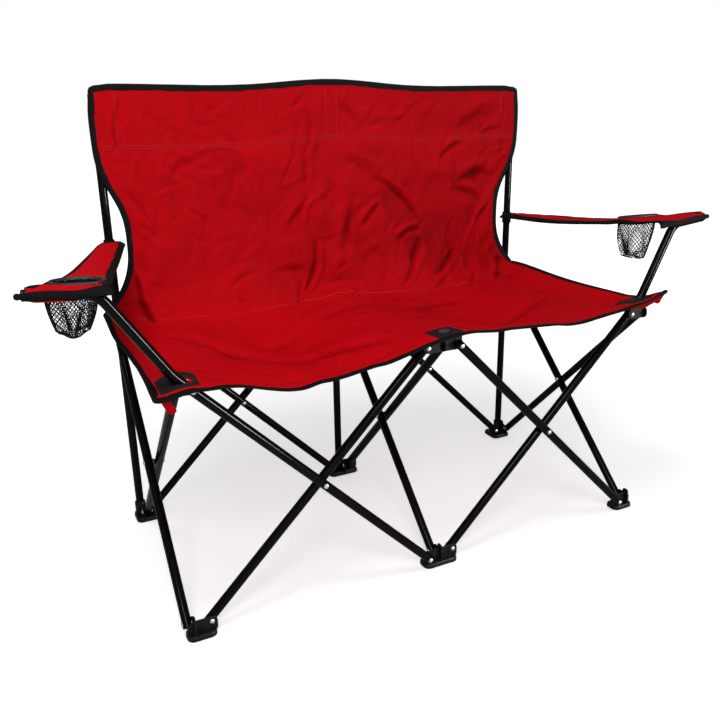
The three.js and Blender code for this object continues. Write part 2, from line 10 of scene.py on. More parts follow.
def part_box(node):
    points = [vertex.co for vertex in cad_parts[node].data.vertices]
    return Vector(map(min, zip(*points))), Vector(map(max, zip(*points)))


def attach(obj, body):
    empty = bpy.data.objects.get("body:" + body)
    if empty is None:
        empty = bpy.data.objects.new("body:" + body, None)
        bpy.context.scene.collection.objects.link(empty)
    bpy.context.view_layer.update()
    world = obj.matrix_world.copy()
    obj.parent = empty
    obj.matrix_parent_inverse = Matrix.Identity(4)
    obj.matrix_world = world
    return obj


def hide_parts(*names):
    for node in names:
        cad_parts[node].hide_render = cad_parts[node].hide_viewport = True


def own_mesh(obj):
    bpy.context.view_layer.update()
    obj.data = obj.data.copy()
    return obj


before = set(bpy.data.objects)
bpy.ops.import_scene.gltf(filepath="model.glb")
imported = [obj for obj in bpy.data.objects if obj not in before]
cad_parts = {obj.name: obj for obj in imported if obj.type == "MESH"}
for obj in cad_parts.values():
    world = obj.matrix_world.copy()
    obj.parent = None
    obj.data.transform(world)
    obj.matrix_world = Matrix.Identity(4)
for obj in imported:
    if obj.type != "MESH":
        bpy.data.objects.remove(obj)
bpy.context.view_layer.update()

# Places read from the frame


def middle(node):
    low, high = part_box(node)
    return np.array((low + high) / 2)


COLUMNS = {c: middle(f"{c}_back_post")[0] for c in ("left", "centre", "right")}
ROWS = {r: middle(f"{r}_left_rivet")[1] for r in ("front", "rear")}
PITCH = COLUMNS["right"]
POST_Y = middle("centre_back_post")[1]
CROSS_Z = middle("front_left_rivet")[2]

# Tubes and rivets
TUBE_R = 0.008
TUBE_BORE = 0.0067
TUBE_END = 0.007  # tube beyond its last rivet
TUBE_SIDES = 28
RIM_EASE = 0.0006  # rounding of a tube's rim
BORE_DEPTH = 0.012
POLE_R = 0.0004  # small flat where a turned shape closes
HALF_SPAN = 0.205  # level distance from a crossing to the end rivets
PIVOT_LOW = 0.022
PIVOT_HIGH = 2 * CROSS_Z - PIVOT_LOW
PLANE = 0.0095  # from the wall between two crossed tubes to each tube's axis
TUBE_FAR = PLANE + TUBE_R - 0.0006  # from that wall to just inside a tube's far side
SIDES = {"left": -1, "right": 1}
CORNER_RUN = 0.016
ARM_SLOPE = math.radians(58)
ARM_BAR_Z = 0.593
ARM_LEAN = {-1: math.radians(-3.2), 1: math.radians(3.2)}  # below zero outward, above zero inward
BAR_RISE = {-1: math.radians(7.5), 1: math.radians(2.5)}
BAR_LENGTH = {-1: 0.0890, 1: 0.0770}  # from the elbow to the end of the arm
SHOULDER_RUN = 0.020  # from the corner rivet's run to where the arm post turns upward
SHOULDER_R = 0.110
ELBOW_R = 0.040
HEAD_R = 0.0044
HEAD_H = 0.0023
PIN_R = 0.0025

# Plastic pieces
WEB = 0.0026  # wall between two crossed tubes
WEB_RIM = 0.0095
WEB_TOP = 0.012
CENTRE_TOP = 0.009  # how much taller the centre bracket is
WIDTH_INSET = PITCH / 2 - HALF_SPAN
DEPTH_INSET = ROWS["rear"] - HALF_SPAN
PAD_H = 0.0096
PAD_ROUND = 0.012
PAD_RIM = 0.007  # pad beyond the rivets
PAD_OUT = 0.014  # pad beyond the outer foot lines
PAD_FRONT = 0.013
PAD_REAR = 0.032
COLLAR_R = 0.0118
COLLAR_BORE = 0.0086
COLLAR_DROP = 0.017
SOCKET_R = 0.0109

# Profiles to turn: radius and height
PLUG = [(0, -0.010), (0.0062, -0.010), (0.0062, 0), (0.0080, 0.0002)]
ARM_CAP = PLUG + [(0.0082, 0.0012), (0.0078, 0.0028), (0.0060, 0.0038), (0.0030, 0.0041), (0, 0.0041)]
POST_CAP = PLUG + [(0.0081, 0.0020), (0.0066, 0.0037), (0, 0.0041)]
SPACER = [(0.003, -0.0013), (0.0052, -0.0013), (0.0056, -0.0008), (0.0056, 0.0008), (0.0052, 0.0013),
          (0.003, 0.0013)]
SCREW = [(0, -0.0008), (0.0024, -0.0008), (0.0026, 0.0004), (0.0022, 0.0009), (0.0013, 0.0009),
         (0.0012, -0.0002), (0, -0.0004)]
SOCKET = [(0.0083, 0.0040), (SOCKET_R + 0.0012, 0.0040), (SOCKET_R, 0.0075), (SOCKET_R, 0.0325),
          (SOCKET_R - 0.0009, 0.0340), (0.0084, 0.0340)]
TAPE_END = [(0, -0.014), (0.0030, -0.012), (0.0040, -0.005), (0.0042, 0.002), (0.0030, 0.0055), (0, 0.0066)]
TAPE_KNOT = [(0, -0.0075), (0.0034, -0.0070), (0.0047, -0.0035), (0.0041, -0.0003), (0.0048, 0.0026),
             (0.0036, 0.0056), (0, 0.0068)]
BUTTON = [(0, -0.002), (0.0100, -0.002), (0.0102, 0.0018), (0.0094, 0.0032), (0.0060, 0.0040), (0, 0.0042)]

# Cloth
CLOTH = 0.0012
SEAT_TOP = 0.4418
SEAT_EDGE = 0.484
BACK_FACE = 0.2252
TAPE_WIDTH = 0.0100
TAPE_FACE = 0.0011


# Shader sums


class Wire:
    """A shader socket that takes part in Python sums."""

    def __init__(self, finish, socket):
        self.finish = finish
        self.socket = socket

    def _sum(self, operation, first, second=None):
        inputs = {0: first} if second is None else {0: first, 1: second}
        return self.finish.node("ShaderNodeMath", {"operation": operation}, inputs)

    def __add__(self, other):
        return self._sum("ADD", self, other)

    def __sub__(self, other):
        return self._sum("SUBTRACT", self, other)

    def __rsub__(self, other):
        return self._sum("SUBTRACT", other, self)

    def __mul__(self, other):
        return self._sum("MULTIPLY", self, other)

    __radd__ = __add__
    __rmul__ = __mul__

    def sine(self):
        return self._sum("SINE", self)


class Finish:
    """One material: a principled shader and the nodes that feed it."""

    def __init__(self, name, settings):
        self.material = bpy.data.materials.new(name)
        self.material.use_nodes = True
        self.tree = self.material.node_tree
        self.tree.nodes.clear()
        self.out = self.tree.nodes.new("ShaderNodeOutputMaterial")
        self.shader = self.tree.nodes.new("ShaderNodeBsdfPrincipled")
        self.tree.links.new(self.shader.outputs[0], self.out.inputs["Surface"])
        for socket, value in settings.items():
            self.feed(self.shader.inputs[socket], value)

    def feed(self, socket, value):
        if isinstance(value, Wire):
            self.tree.links.new(value.socket, socket)
        else:
            socket.default_value = value

    def node(self, kind, settings=None, inputs=None, out=0):
        made = self.tree.nodes.new(kind)
        for name, value in (settings or {}).items():
            setattr(made, name, value)
        for name, value in (inputs or {}).items():
            self.feed(made.inputs[name], value)
        return Wire(self, made.outputs[out])

    def give(self, socket, value):
        self.feed(self.shader.inputs[socket], value)

    def uv(self):
        """The two ways along a sheet, in metres."""
        spot = self.node("ShaderNodeUVMap", {"uv_map": "flat"})
        parts = [self.node("ShaderNodeSeparateXYZ", None, {0: spot}, out) for out in (0, 1)]
        return spot, parts[0], parts[1]

    def place(self):
        """Place on the object, in metres."""
        return self.node("ShaderNodeTexCoord", None, None, 3)

    def stretched(self, spot, x, y, z=1.0):
        settings = {"operation": "MULTIPLY"}
        return self.node("ShaderNodeVectorMath", settings, {0: spot, 1: (x, y, z)})

    def noise(self, spot, scale, detail=2.0, rough=0.5):
        inputs = {"Vector": spot, "Scale": scale, "Detail": detail, "Roughness": rough}
        return self.node("ShaderNodeTexNoise", None, inputs)

    def mixed(self, share, first, second):
        settings = {"data_type": "RGBA", "clamp_factor": True}
        return self.node("ShaderNodeMix", settings, {0: share, 6: first, 7: second}, 2)

    def spread(self, value, low, high):
        """Noise, which lies between 0.3 and 0.7 for the most part, taken to low to high and kept there."""
        settings = {"clamp": True}
        inputs = {"Value": value, "From Min": 0.3, "From Max": 0.7, "To Min": low, "To Max": high}
        return self.node("ShaderNodeMapRange", settings, inputs)

    def bumped(self, height, strength, distance):
        inputs = {"Height": height, "Strength": strength, "Distance": distance}
        self.give("Normal", self.node("ShaderNodeBump", None, inputs))

    def tinted(self, share, dark, light):
        """Base colour that goes from dark to light with a noise."""
        self.give("Base Color", self.mixed(self.spread(share, 0.0, 1.0), (*dark, 1), (*light, 1)))

    def roughened(self, share, low, high):
        self.give("Roughness", self.spread(share, low, high))


def near_black(dark, light):
    """Two blacks with a trace of blue."""
    return (dark, dark, dark * 1.1), (light, light, light * 1.06)


def red_polyester():
    finish = Finish("red_polyester", {"Specular IOR Level": 0.020})
    spot, across, along = finish.uv()
    thread = 2 * math.pi / 0.0013
    weave = (across * thread).sine() * (along * thread).sine()
    warp_slub = finish.noise(finish.stretched(spot, 620, 26), 1.0, 2.0)
    weft_slub = finish.noise(finish.stretched(spot, 26, 620), 1.0, 2.0)
    slub = (warp_slub + weft_slub) * 0.5
    patchy = finish.noise(spot, 7.0, 3.0)
    deep = finish.mixed(finish.spread(slub, 0.0, 1.0), (0.42, 0.0010, 0.0040, 1), (0.565, 0.0022, 0.0070, 1))
    faded = finish.mixed(finish.spread(patchy, 0.0, 0.22), deep, (0.625, 0.005, 0.011, 1))
    # Painted shade: the colour turns darker red in the gaps between the threads of the weave.
    gap_shade = (1 - weave) * 0.08
    woven = finish.mixed(gap_shade, faded, (0.22, 0.001, 0.003, 1))
    # Painted shade: the base colour darkens to a deep red where the sheet lies deep in a fold.
    crease_shade = finish.node("ShaderNodeAttribute", {"attribute_name": "crease_shade"}, None, "Fac")
    finish.give("Base Color", finish.mixed(crease_shade, woven, (0.14, 0.0006, 0.002, 1)))
    finish.roughened(slub, 0.70, 0.86)
    puckered = finish.noise(finish.stretched(spot, 34, 24), 1.0, 4.0, 0.58)
    rumpled = finish.noise(spot, 11.0, 3.0)
    finish.bumped((weave * 0.45 + slub * 1.1) * 0.00012 + puckered * 0.0030 + rumpled * 0.0050, 1.0, 1.0)
    return finish.material


def black_tape(name, specular, dark, light, roughness):
    finish = Finish(name, {"Specular IOR Level": specular})
    spot, across, along = finish.uv()
    rib = (along * (2 * math.pi / 0.0021)).sine()
    cross_rib = (across * (2 * math.pi / 0.0016)).sine()
    worn = finish.noise(finish.stretched(spot, 300, 60), 1.0, 3.0)
    fuzz = finish.noise(spot, 900.0, 2.0)
    finish.tinted(worn * 0.6 + fuzz * 0.4, *near_black(dark, light))
    finish.roughened(worn, *roughness)
    finish.bumped(rib * 0.5 + cross_rib * 0.2 + fuzz * 0.6, 0.45, 0.0005)
    return finish.material


def frame_paint():
    finish = Finish("frame_paint", {"Specular IOR Level": 0.02, "Coat Roughness": 0.04, "Coat IOR": 1.45})
    spot = finish.place()
    peel = finish.noise(spot, 420.0, 2.0)
    rubbed = finish.noise(spot, 38.0, 5.0, 0.65)
    finish.tinted(rubbed, (0.0012, 0.0012, 0.0013), (0.0035, 0.0035, 0.0038))
    finish.roughened(rubbed, 0.14, 0.22)
    finish.give("Coat Weight", finish.spread(rubbed, 0.21, 0.12))
    finish.bumped(peel, 0.10, 0.0003)
    return finish.material


def moulded_plastic(name, dark, light):
    finish = Finish(name, {"Specular IOR Level": 0.14})
    spot = finish.place()
    grain = finish.noise(spot, 1500.0, 2.0)
    scuff = finish.noise(finish.stretched(spot, 1, 1, 0.35), 90.0, 4.0, 0.6)
    finish.tinted(scuff, *near_black(dark, light))
    finish.roughened(scuff, 0.34, 0.56)
    finish.bumped(grain, 0.25, 0.0002)
    return finish.material


def rivet_steel():
    finish = Finish("rivet_steel", {"Specular IOR Level": 0.5})
    spot = finish.place()
    brushed = finish.noise(finish.stretched(spot, 1, 1, 8), 700.0, 3.0)
    stain = finish.noise(spot, 260.0, 3.0)
    finish.tinted(stain, (0.45, 0.45, 0.46), (0.80, 0.80, 0.81))
    finish.give("Metallic", finish.spread(stain, 0.95, 1.0))
    finish.roughened(brushed, 0.20, 0.42)
    finish.bumped(brushed, 0.12, 0.0002)
    return finish.material


def net_cord():
    finish = Finish("net_cord", {"Specular IOR Level": 0.08})
    twist = finish.noise(finish.stretched(finish.place(), 1, 1, 2.2), 1600.0, 2.0)
    finish.tinted(twist, (0.003, 0.003, 0.0033), (0.014, 0.014, 0.015))
    finish.roughened(twist, 0.45, 0.7)
    finish.bumped(twist, 0.3, 0.0002)
    return finish.material


def sewing_thread():
    finish = Finish("sewing_thread", {"Specular IOR Level": 0.4})
    twist = finish.noise(finish.place(), 2400.0, 1.0)
    finish.tinted(twist, (0.26, 0.002, 0.006), (0.40, 0.003, 0.009))
    finish.roughened(twist, 0.5, 0.7)
    return finish.material


RED = red_polyester()
TAPE = black_tape("edge_tape", 0.05, 0.0016, 0.0075, (0.55, 0.78))
WEBBING = black_tape("patch_webbing", 0.10, 0.0040, 0.015, (0.50, 0.70))
RING_TAPE = black_tape("cup_ring_tape", 0.40, 0.0060, 0.022, (0.28, 0.42))
PAINT = frame_paint()
PLASTIC = moulded_plastic("moulded_plastic", 0.0030, 0.0090)
GREY_PLASTIC = moulded_plastic("grey_plastic", 0.030, 0.060)
STEEL = rivet_steel()
NET = net_cord()
THREAD = sewing_thread()


# Shapes

# Faces that meet at more than this show an edge
SHARP = math.radians(40)
SHARP_PLASTIC = math.radians(32)
SHARP_TAPE = math.radians(50)
SHARP_CLOTH = math.radians(60)
SHARP_RING = math.radians(70)
SHARP_NET = math.radians(80)


def new_object(name, data):
    """New object, linked to the scene."""
    obj = bpy.data.objects.new(name, data)
    bpy.context.scene.collection.objects.link(obj)
    return obj


class Shell:
    """Points, faces and flat coordinates of a piece while it is being made."""

    def __init__(self):
        self.points = []
        self.faces = []
        self.flat = []
        self.normals = []  # left at zero where the faces set them
        self.crease_shade = []  # painted crease shade: how deep each point lies in a fold, from 0 to 1; the cloth's colour darkens with it
        self.count = 0

    def add(self, points, faces, flat=None, normals=None, crease_shade=None):
        points = np.asarray(points, float).reshape(-1, 3)
        self.points.append(points)
        if isinstance(faces, np.ndarray):
            self.faces += (faces + self.count).tolist()
        else:
            self.faces += [tuple(int(v) + self.count for v in face) for face in faces]
        self.flat.append(np.zeros((len(points), 2)) if flat is None else np.reshape(flat, (-1, 2)))
        self.normals.append(np.zeros_like(points) if normals is None else np.reshape(normals, (-1, 3)))
        self.crease_shade.append(np.zeros(len(points)) if crease_shade is None else np.ravel(crease_shade))
        self.count += len(points)
        return self

    def mesh(self, name):
        made = bpy.data.meshes.new(name)
        made.from_pydata(np.concatenate(self.points).tolist(), [], self.faces)
        made.update()
        layer = made.uv_layers.new(name="flat")
        corner = np.zeros(len(made.loops), np.int32)
        made.loops.foreach_get("vertex_index", corner)
        layer.data.foreach_set("uv", np.concatenate(self.flat)[corner].astype(np.float32).ravel())
        # painted crease shade, kept on the mesh for the red cloth's colour
        crease_shade = np.concatenate(self.crease_shade).astype(np.float32)
        if crease_shade.any():
            made.attributes.new("crease_shade", "FLOAT", "POINT").data.foreach_set("value", crease_shade)
        return made


def piece(name, shell, material, body, stands_for=(), sharp=SHARP):
    """Finished object on a body, that may stand for CAD nodes."""
    mesh = shell if isinstance(shell, bpy.types.Mesh) else shell.mesh(name)
    mesh.name = name
    mesh.materials.clear()
    mesh.materials.append(material)
    mesh.polygons.foreach_set("use_smooth", np.ones(len(mesh.polygons), bool))
    mesh.set_sharp_from_angle(angle=sharp)
    if isinstance(shell, Shell) and np.any(shell.normals[0]):
        mesh.normals_split_custom_set_from_vertices(np.concatenate(shell.normals).tolist())
    obj = new_object(name, mesh)
    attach(obj, body)
    if stands_for:
        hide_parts(*stands_for)
    return obj


def unit(vectors):
    vectors = np.asarray(vectors, float)
    return vectors / np.maximum(np.linalg.norm(vectors, axis=-1, keepdims=True), 1e-12)


def smooth(t):
    t = np.clip(t, 0, 1)
    return t * t * (3 - 2 * t)


def circle(count):
    """Angles of evenly spaced points round a circle."""
    return np.arange(count) * 2 * math.pi / count


def run_along(path):
    """Distance along a path at each of its points."""
    return np.concatenate([[0], np.cumsum(np.linalg.norm(np.diff(path, axis=0), axis=1))])


def paired(first, second):
    """Two coordinates, each along its own axis of a grid, joined into pairs."""
    return np.stack(np.broadcast_arrays(first, second), -1)


def grid_faces(rows, columns, wrap=False):
    """Quads of a grid of points, row by row; wrap joins the last column to the first."""
    span = columns if wrap else columns - 1
    j, i = np.meshgrid(np.arange(rows - 1), np.arange(span), indexing="ij")
    a = j * columns + i
    b = j * columns + (i + 1) % columns
    return np.stack([a, b, b + columns, a + columns], -1).reshape(-1, 4)


def loop_faces(rows, columns):
    """Quads of a grid that closes both ways."""
    return grid_faces(rows + 1, columns, wrap=True) % (rows * columns)


def grid_normals(points):
    along = np.gradient(points, axis=0)
    across = np.gradient(points, axis=1)
    return unit(np.cross(across, along))


def carried(path):
    """Heading and two square directions at each point of a path, turned as little as possible."""
    heading = unit(np.gradient(path, axis=0))
    side = np.cross(heading[0], (0, 0, 1.0))
    if np.linalg.norm(side) < 1e-3:
        side = np.array((1.0, 0, 0))
    sides = []
    for way in heading:
        side = unit(side - way * np.dot(side, way))
        sides.append(side)
    sides = np.array(sides)
    return heading, sides, np.cross(heading, sides)


def ringed(rings):
    """Points and faces of rings of equal length, joined in turn and closed by a face at each end."""
    rings = np.asarray(rings)
    count, sides = rings.shape[:2]
    faces = [tuple(q) for q in grid_faces(count, sides, wrap=True)]
    faces.append(tuple(range(sides - 1, -1, -1)))
    faces.append(tuple(range((count - 1) * sides, count * sides)))
    return rings.reshape(-1, 3), faces


def tube(path):
    """Round tube along a path, with its bore open for a short way at both ends."""
    path = np.asarray(path, float)
    heading, one, two = carried(path)
    turn = circle(TUBE_SIDES)
    rim = [(BORE_DEPTH, TUBE_BORE), (RIM_EASE, TUBE_BORE), (0, TUBE_BORE + RIM_EASE), (0, TUBE_R - RIM_EASE),
           (RIM_EASE, TUBE_R)]
    start = [(0, inside, r) for inside, r in rim]
    stops = [(i, 0.0, TUBE_R) for i in range(1, len(path) - 1)]
    end = [(len(path) - 1, -inside, r) for inside, r in reversed(rim)]
    rings = []
    for i, ahead, r in start + stops + end:
        centre = path[i] + heading[i] * ahead
        rings.append(centre + r * (np.outer(np.cos(turn), one[i]) + np.outer(np.sin(turn), two[i])))
    return ringed(rings)


def turned(profile, axis, centre, sides=24):
    """Solid of revolution: radius and height pairs about an axis through a centre."""
    axis = unit(axis)
    one = unit(np.cross(axis, (0.3, 0.5, 0.8)))
    two = np.cross(axis, one)
    turn = circle(sides)
    ring = np.outer(np.cos(turn), one) + np.outer(np.sin(turn), two)
    rings = [np.asarray(centre) + axis * h + ring * max(r, POLE_R) for r, h in profile]
    return ringed(rings)


def rounded_loop(half_a, half_b, radius, steps=5):
    loop = []
    for quarter, (sa, sb) in enumerate([(1, 1), (-1, 1), (-1, -1), (1, -1)]):
        for k in range(steps + 1):
            angle = (quarter + k / steps) * math.pi / 2
            loop.append((sa * (half_a - radius) + radius * math.cos(angle),
                         sb * (half_b - radius) + radius * math.sin(angle)))
    return np.array(loop)


def slab(axis, at, thickness, a_range, b_range, corner, edge=0.0006):
    """Plate with round corners and eased edges, square to the x or y axis."""
    centre = (sum(a_range) / 2, sum(b_range) / 2)
    half = ((a_range[1] - a_range[0]) / 2, (b_range[1] - b_range[0]) / 2)
    corner = min(corner, half[0] - 1e-5, half[1] - 1e-5)
    rings = []
    for inset, height in ((edge, -0.5), (0, -0.5), (0, 0.5), (edge, 0.5)):
        loop = rounded_loop(half[0] - inset, half[1] - inset, max(corner - inset, 1e-5)) + centre
        level = height * thickness + (edge if inset == 0 else 0) * (1 if height < 0 else -1)
        rings.append(np.c_[loop, np.full(len(loop), level)])
    rings = np.array(rings)
    a, b, h = rings[..., 0], rings[..., 1], rings[..., 2] + at
    if axis == "y":
        return ringed(np.stack([a, h, b], -1)[:, ::-1])
    return ringed(np.stack([h, a, b], -1))


def fused(name, solids):
    """One mesh from overlapping solids."""
    objects = [new_object(name, Shell().add(*solid).mesh(name)) for solid in solids]
    first = objects[0]
    for other in objects[1:]:
        join = first.modifiers.new("join", "BOOLEAN")
        join.operation = "UNION"
        join.solver = "EXACT"
        join.object = other
    graph = bpy.context.evaluated_depsgraph_get()
    made = bpy.data.meshes.new_from_object(first.evaluated_get(graph))
    for obj in objects:
        bpy.data.objects.remove(obj)
    return made


def bent(corners, radii, steps=9):
    """Path with its corners turned into arcs."""
    path = [corners[0]]
    for before, here, after, radius in zip(corners, corners[1:], corners[2:], radii):
        back, on = unit(before - here), unit(after - here)
        half = math.acos(float(np.dot(back, on))) / 2
        hub = here + unit(back + on) * radius / math.sin(half)
        start = here + back * radius / math.tan(half) - hub
        end = here + on * radius / math.tan(half) - hub
        axis = Vector(np.cross(start, end)).normalized()
        sweep = math.pi - 2 * half
        for k in range(steps + 1):
            path.append(hub + np.array(Matrix.Rotation(sweep * k / steps, 3, axis) @ Vector(start)))
    path.append(corners[-1])
    return np.array(path)


# Steel frame


def arm_path(side):
    y = ROWS["front"] + side * PLANE
    low = np.array((side * WIDTH_INSET, y, PIVOT_LOW))
    high = np.array((side * (PITCH - WIDTH_INSET), y, PIVOT_HIGH))
    along = unit(high - low)
    corner = high + along * CORNER_RUN
    run = (ARM_BAR_Z - corner[2]) / math.tan(ARM_SLOPE)
    elbow = np.array((corner[0] + side * run, y, ARM_BAR_Z))
    rise = BAR_RISE[side]
    tip = elbow + BAR_LENGTH[side] * np.array((side * math.cos(rise), 0, math.sin(rise)))
    turn = np.array(Matrix.Rotation(-side * ARM_LEAN[side], 3, "Y"))
    elbow, tip = corner + turn @ (elbow - corner), corner + turn @ (tip - corner)
    corners = [low - along * TUBE_END, corner + along * SHOULDER_RUN, elbow, tip]
    return bent(corners, (SHOULDER_R, ELBOW_R)), elbow, tip


def painted_tube(name, path, body, node):
    piece(f"{name}_painted", Shell().add(*tube(path)), PAINT, body, [node])


def straight_tube(name, low, high):
    low, high = np.array(low), np.array(high)
    along = unit(high - low)
    path = [low - along * TUBE_END, low, (low + high) / 2, high, high + along * TUBE_END]
    painted_tube(name, path, name, name)


ARMS = {}
for side_name, side in SIDES.items():
    path, elbow, tip = arm_path(side)
    ARMS[side_name] = {"side": side, "path": path, "elbow": elbow, "tip": tip}
    name = f"front_{side_name}_arm_tube"
    painted_tube(name, path, name, name)
    cap = Shell().add(*turned(ARM_CAP, tip - elbow, tip))
    piece(f"{side_name}_arm_end_cap", cap, PLASTIC, name, [f"{side_name}_arm_plug"])

ROW_TUBES = {  # row, half of the chair, and the way in which the tube climbs
    "front_left_leg_tube": ("front", -1, 1), "front_right_leg_tube": ("front", 1, -1),
    "rear_left_outer_tube": ("rear", -1, 1), "rear_right_outer_tube": ("rear", 1, -1),
    "rear_left_inner_tube": ("rear", -1, -1), "rear_right_inner_tube": ("rear", 1, 1),
}
for name, (row, half, rise) in ROW_TUBES.items():
    y = ROWS[row] + rise * PLANE
    x = half * PITCH / 2
    straight_tube(name, (x - rise * HALF_SPAN, y, PIVOT_LOW), (x + rise * HALF_SPAN, y, PIVOT_HIGH))
for column, x in COLUMNS.items():
    for end, way in (("rear", 1), ("front", -1)):
        at = x + way * PLANE
        low, high = (at, way * HALF_SPAN, PIVOT_LOW), (at, -way * HALF_SPAN, PIVOT_HIGH)
        straight_tube(f"{column}_side_{end}_tube", low, high)

for column, x in COLUMNS.items():
    low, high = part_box(f"{column}_back_post")
    path = [(x, POST_Y, z) for z in (low.z, low.z + 0.02, high.z - 0.02, high.z)]
    body = f"rear_{column}_foot"
    painted_tube(f"{column}_post", path, body, f"{column}_back_post")
    cap = Shell().add(*turned(POST_CAP, (0, 0, 1), path[-1]))
    piece(f"{column}_post_end_cap", cap, PLASTIC, body, [f"{column}_post_cap"])


def dome(height, way):
    """Half profile of a rivet head that stands on a given height and points one way."""
    steps = [(1, 0), (0.98, 0.25), (0.86, 0.58), (0.62, 0.84), (0.3, 0.97), (0, 1)]
    return [(HEAD_R * r, height + way * h * HEAD_H) for r, h in steps]


def rivet(axis, at, near, far):
    profile = list(reversed(dome(near, -1))) + [(PIN_R, near), (PIN_R, far)] + dome(far, 1)
    return turned(profile, axis, at)


CROSSINGS = {}  # each rivet's body and axis
for side_name in SIDES:
    CROSSINGS[f"front_{side_name}_rivet"] = (f"front_{side_name}_arm_tube", (0, 1, 0))
for side_name in SIDES:
    CROSSINGS[f"rear_{side_name}_rivet"] = (f"rear_{side_name}_inner_tube", (0, 1, 0))
for column in COLUMNS:
    CROSSINGS[f"{column}_side_rivet"] = (f"{column}_side_rear_tube", (1, 0, 0))
for name, (body, axis) in CROSSINGS.items():
    at = middle(name)
    piece(f"{name}_domed", Shell().add(*rivet(axis, at, -TUBE_FAR, TUBE_FAR)), STEEL, body, [name])
    piece(f"{name}_spacer", Shell().add(*turned(SPACER, axis, at)), PLASTIC, body)


# Plastic feet, brackets and sliders


def end_rivets(column, row, high):
    """Places, axes and sides of the rivets that hold the tube ends at a corner of the frame."""
    z = PIVOT_HIGH if high else PIVOT_LOW
    x, y = COLUMNS[column], ROWS[row]
    found = []
    for side in SIDES.values():
        if abs(x + side * PITCH) < PITCH * 1.1:
            found.append(((x + side * WIDTH_INSET, y, z), (0, 1, 0), -side if high else side))
    inward = 1 if row == "front" else -1
    found.append(((x, y + inward * DEPTH_INSET, z), (1, 0, 0), 1 if (row == "front") == high else -1))
    return found


def walls(rivets, column, row, z_range):
    """Two upright walls that part the crossed tubes, one along each row of rivets."""
    x, y = COLUMNS[column], ROWS[row]
    xs = [x] + [at[0] for at, axis, _ in rivets if axis[1]]
    ys = [y] + [at[1] for at, axis, _ in rivets if axis[0]]
    return [
        slab("y", y, WEB, (min(xs) - WEB_RIM, max(xs) + WEB_RIM), z_range, WEB_RIM),
        slab("x", x, WEB, (min(ys) - WEB_RIM, max(ys) + WEB_RIM), z_range, WEB_RIM),
    ]


def rivet_shell(rivets):
    shell = Shell()
    for at, axis, plane in rivets:
        shell.add(*rivet(np.array(axis) * plane, at, -WEB / 2, TUBE_FAR))
    return shell


def screw_boss(column, row, beside, z):
    """Screw head on the outer face of a wall, beside the column."""
    out = -1 if row == "front" else 1
    x = COLUMNS[column] + (-beside if column == "right" else beside)
    return turned(SCREW, (0, out, 0), (x, ROWS[row] + out * WEB / 2, z), 16)


def foot_block(x_range, y_range):
    """Solid sole of a foot, drawn in a little towards its top."""
    centre = np.array((sum(x_range) / 2, sum(y_range) / 2))
    half = np.array((x_range[1] - x_range[0], y_range[1] - y_range[0])) / 2
    rings = []
    for z, inset in ((0, 0.0012), (0.0012, 0), (0.0070, 0.0006), (PAD_H - 0.0006, 0.0022), (PAD_H, 0.0045)):
        loop = rounded_loop(*(half - inset), PAD_ROUND - inset) + centre
        rings.append(np.c_[loop, np.full(len(loop), z)])
    return ringed(rings)


def foot(column, row):
    rivets = end_rivets(column, row, False)
    x, y = COLUMNS[column], ROWS[row]
    xs = [at[0] for at, axis, _ in rivets if axis[1]]
    x_range = (x - PAD_OUT if column == "left" else min(xs) - PAD_RIM,
               x + PAD_OUT if column == "right" else max(xs) + PAD_RIM)
    if row == "front":
        y_range = (y - PAD_FRONT, y + DEPTH_INSET + PAD_RIM)
    else:
        y_range = (y - DEPTH_INSET - PAD_RIM, y + PAD_REAR)
    step = (x_range[0] + 0.0015, x_range[1] - 0.0015)
    fin = sorted((y - math.copysign(0.009, -y), y + math.copysign(0.006, -y)))
    solids = [
        foot_block(x_range, y_range),
        *walls(rivets, column, row, (0.002, PIVOT_LOW + WEB_RIM)),
        slab("y", y, WEB * 0.9, step, (0.003, PIVOT_LOW + 0.004), 0.007),
        slab("x", x, WEB, tuple(fin), (0.010, PIVOT_LOW + 0.018), 0.005),
        screw_boss(column, row, 0.010, 0.016),
    ]
    if row == "rear":
        solids.append(turned(SOCKET, (0, 0, 1), (x, POST_Y, 0), 32))
    return solids, rivets


def bracket(column):
    rivets = end_rivets(column, "front", True)
    top = WEB_TOP + (CENTRE_TOP if column == "centre" else 0)
    solids = walls(rivets, column, "front", (PIVOT_HIGH - WEB_RIM, PIVOT_HIGH + top))
    solids.append(screw_boss(column, "front", 0.009, PIVOT_HIGH + 0.001))
    return solids, rivets


def slider(column):
    rivets = end_rivets(column, "rear", True)
    x, y = COLUMNS[column], ROWS["rear"]
    low, high = PIVOT_HIGH - COLLAR_DROP, PIVOT_HIGH + WEB_TOP
    z_range = (PIVOT_HIGH - WEB_RIM, high)
    solids = walls(rivets, column, "rear", z_range)
    solids.append(slab("x", x, WEB, (y - WEB_RIM, POST_Y - 0.009), z_range, 0.003))
    collar = [(COLLAR_BORE, low), (COLLAR_R - 0.0008, low), (COLLAR_R, low + 0.001), (COLLAR_R, low + 0.006),
              (COLLAR_R - 0.0008, low + 0.008), (COLLAR_R - 0.0008, high - 0.005), (COLLAR_R, high - 0.003),
              (COLLAR_R - 0.0006, high - 0.0006), (COLLAR_BORE, high - 0.0003)]
    solids.append(turned(collar, (0, 0, 1), (x, POST_Y, 0), 32))
    return solids, rivets


for column in COLUMNS:
    for name, (solids, rivets) in {
        f"front_{column}_foot": foot(column, "front"), f"rear_{column}_foot": foot(column, "rear"),
        f"front_{column}_bracket": bracket(column), f"rear_{column}_slider": slider(column),
    }.items():
        piece(f"{name}_moulded", fused(name, solids), PLASTIC, name, [name], SHARP_PLASTIC)
        piece(f"{name}_rivets", rivet_shell(rivets), STEEL, name)


# Sling: one sheet from the front edge of the seat, over the rear corner, to the top of the back

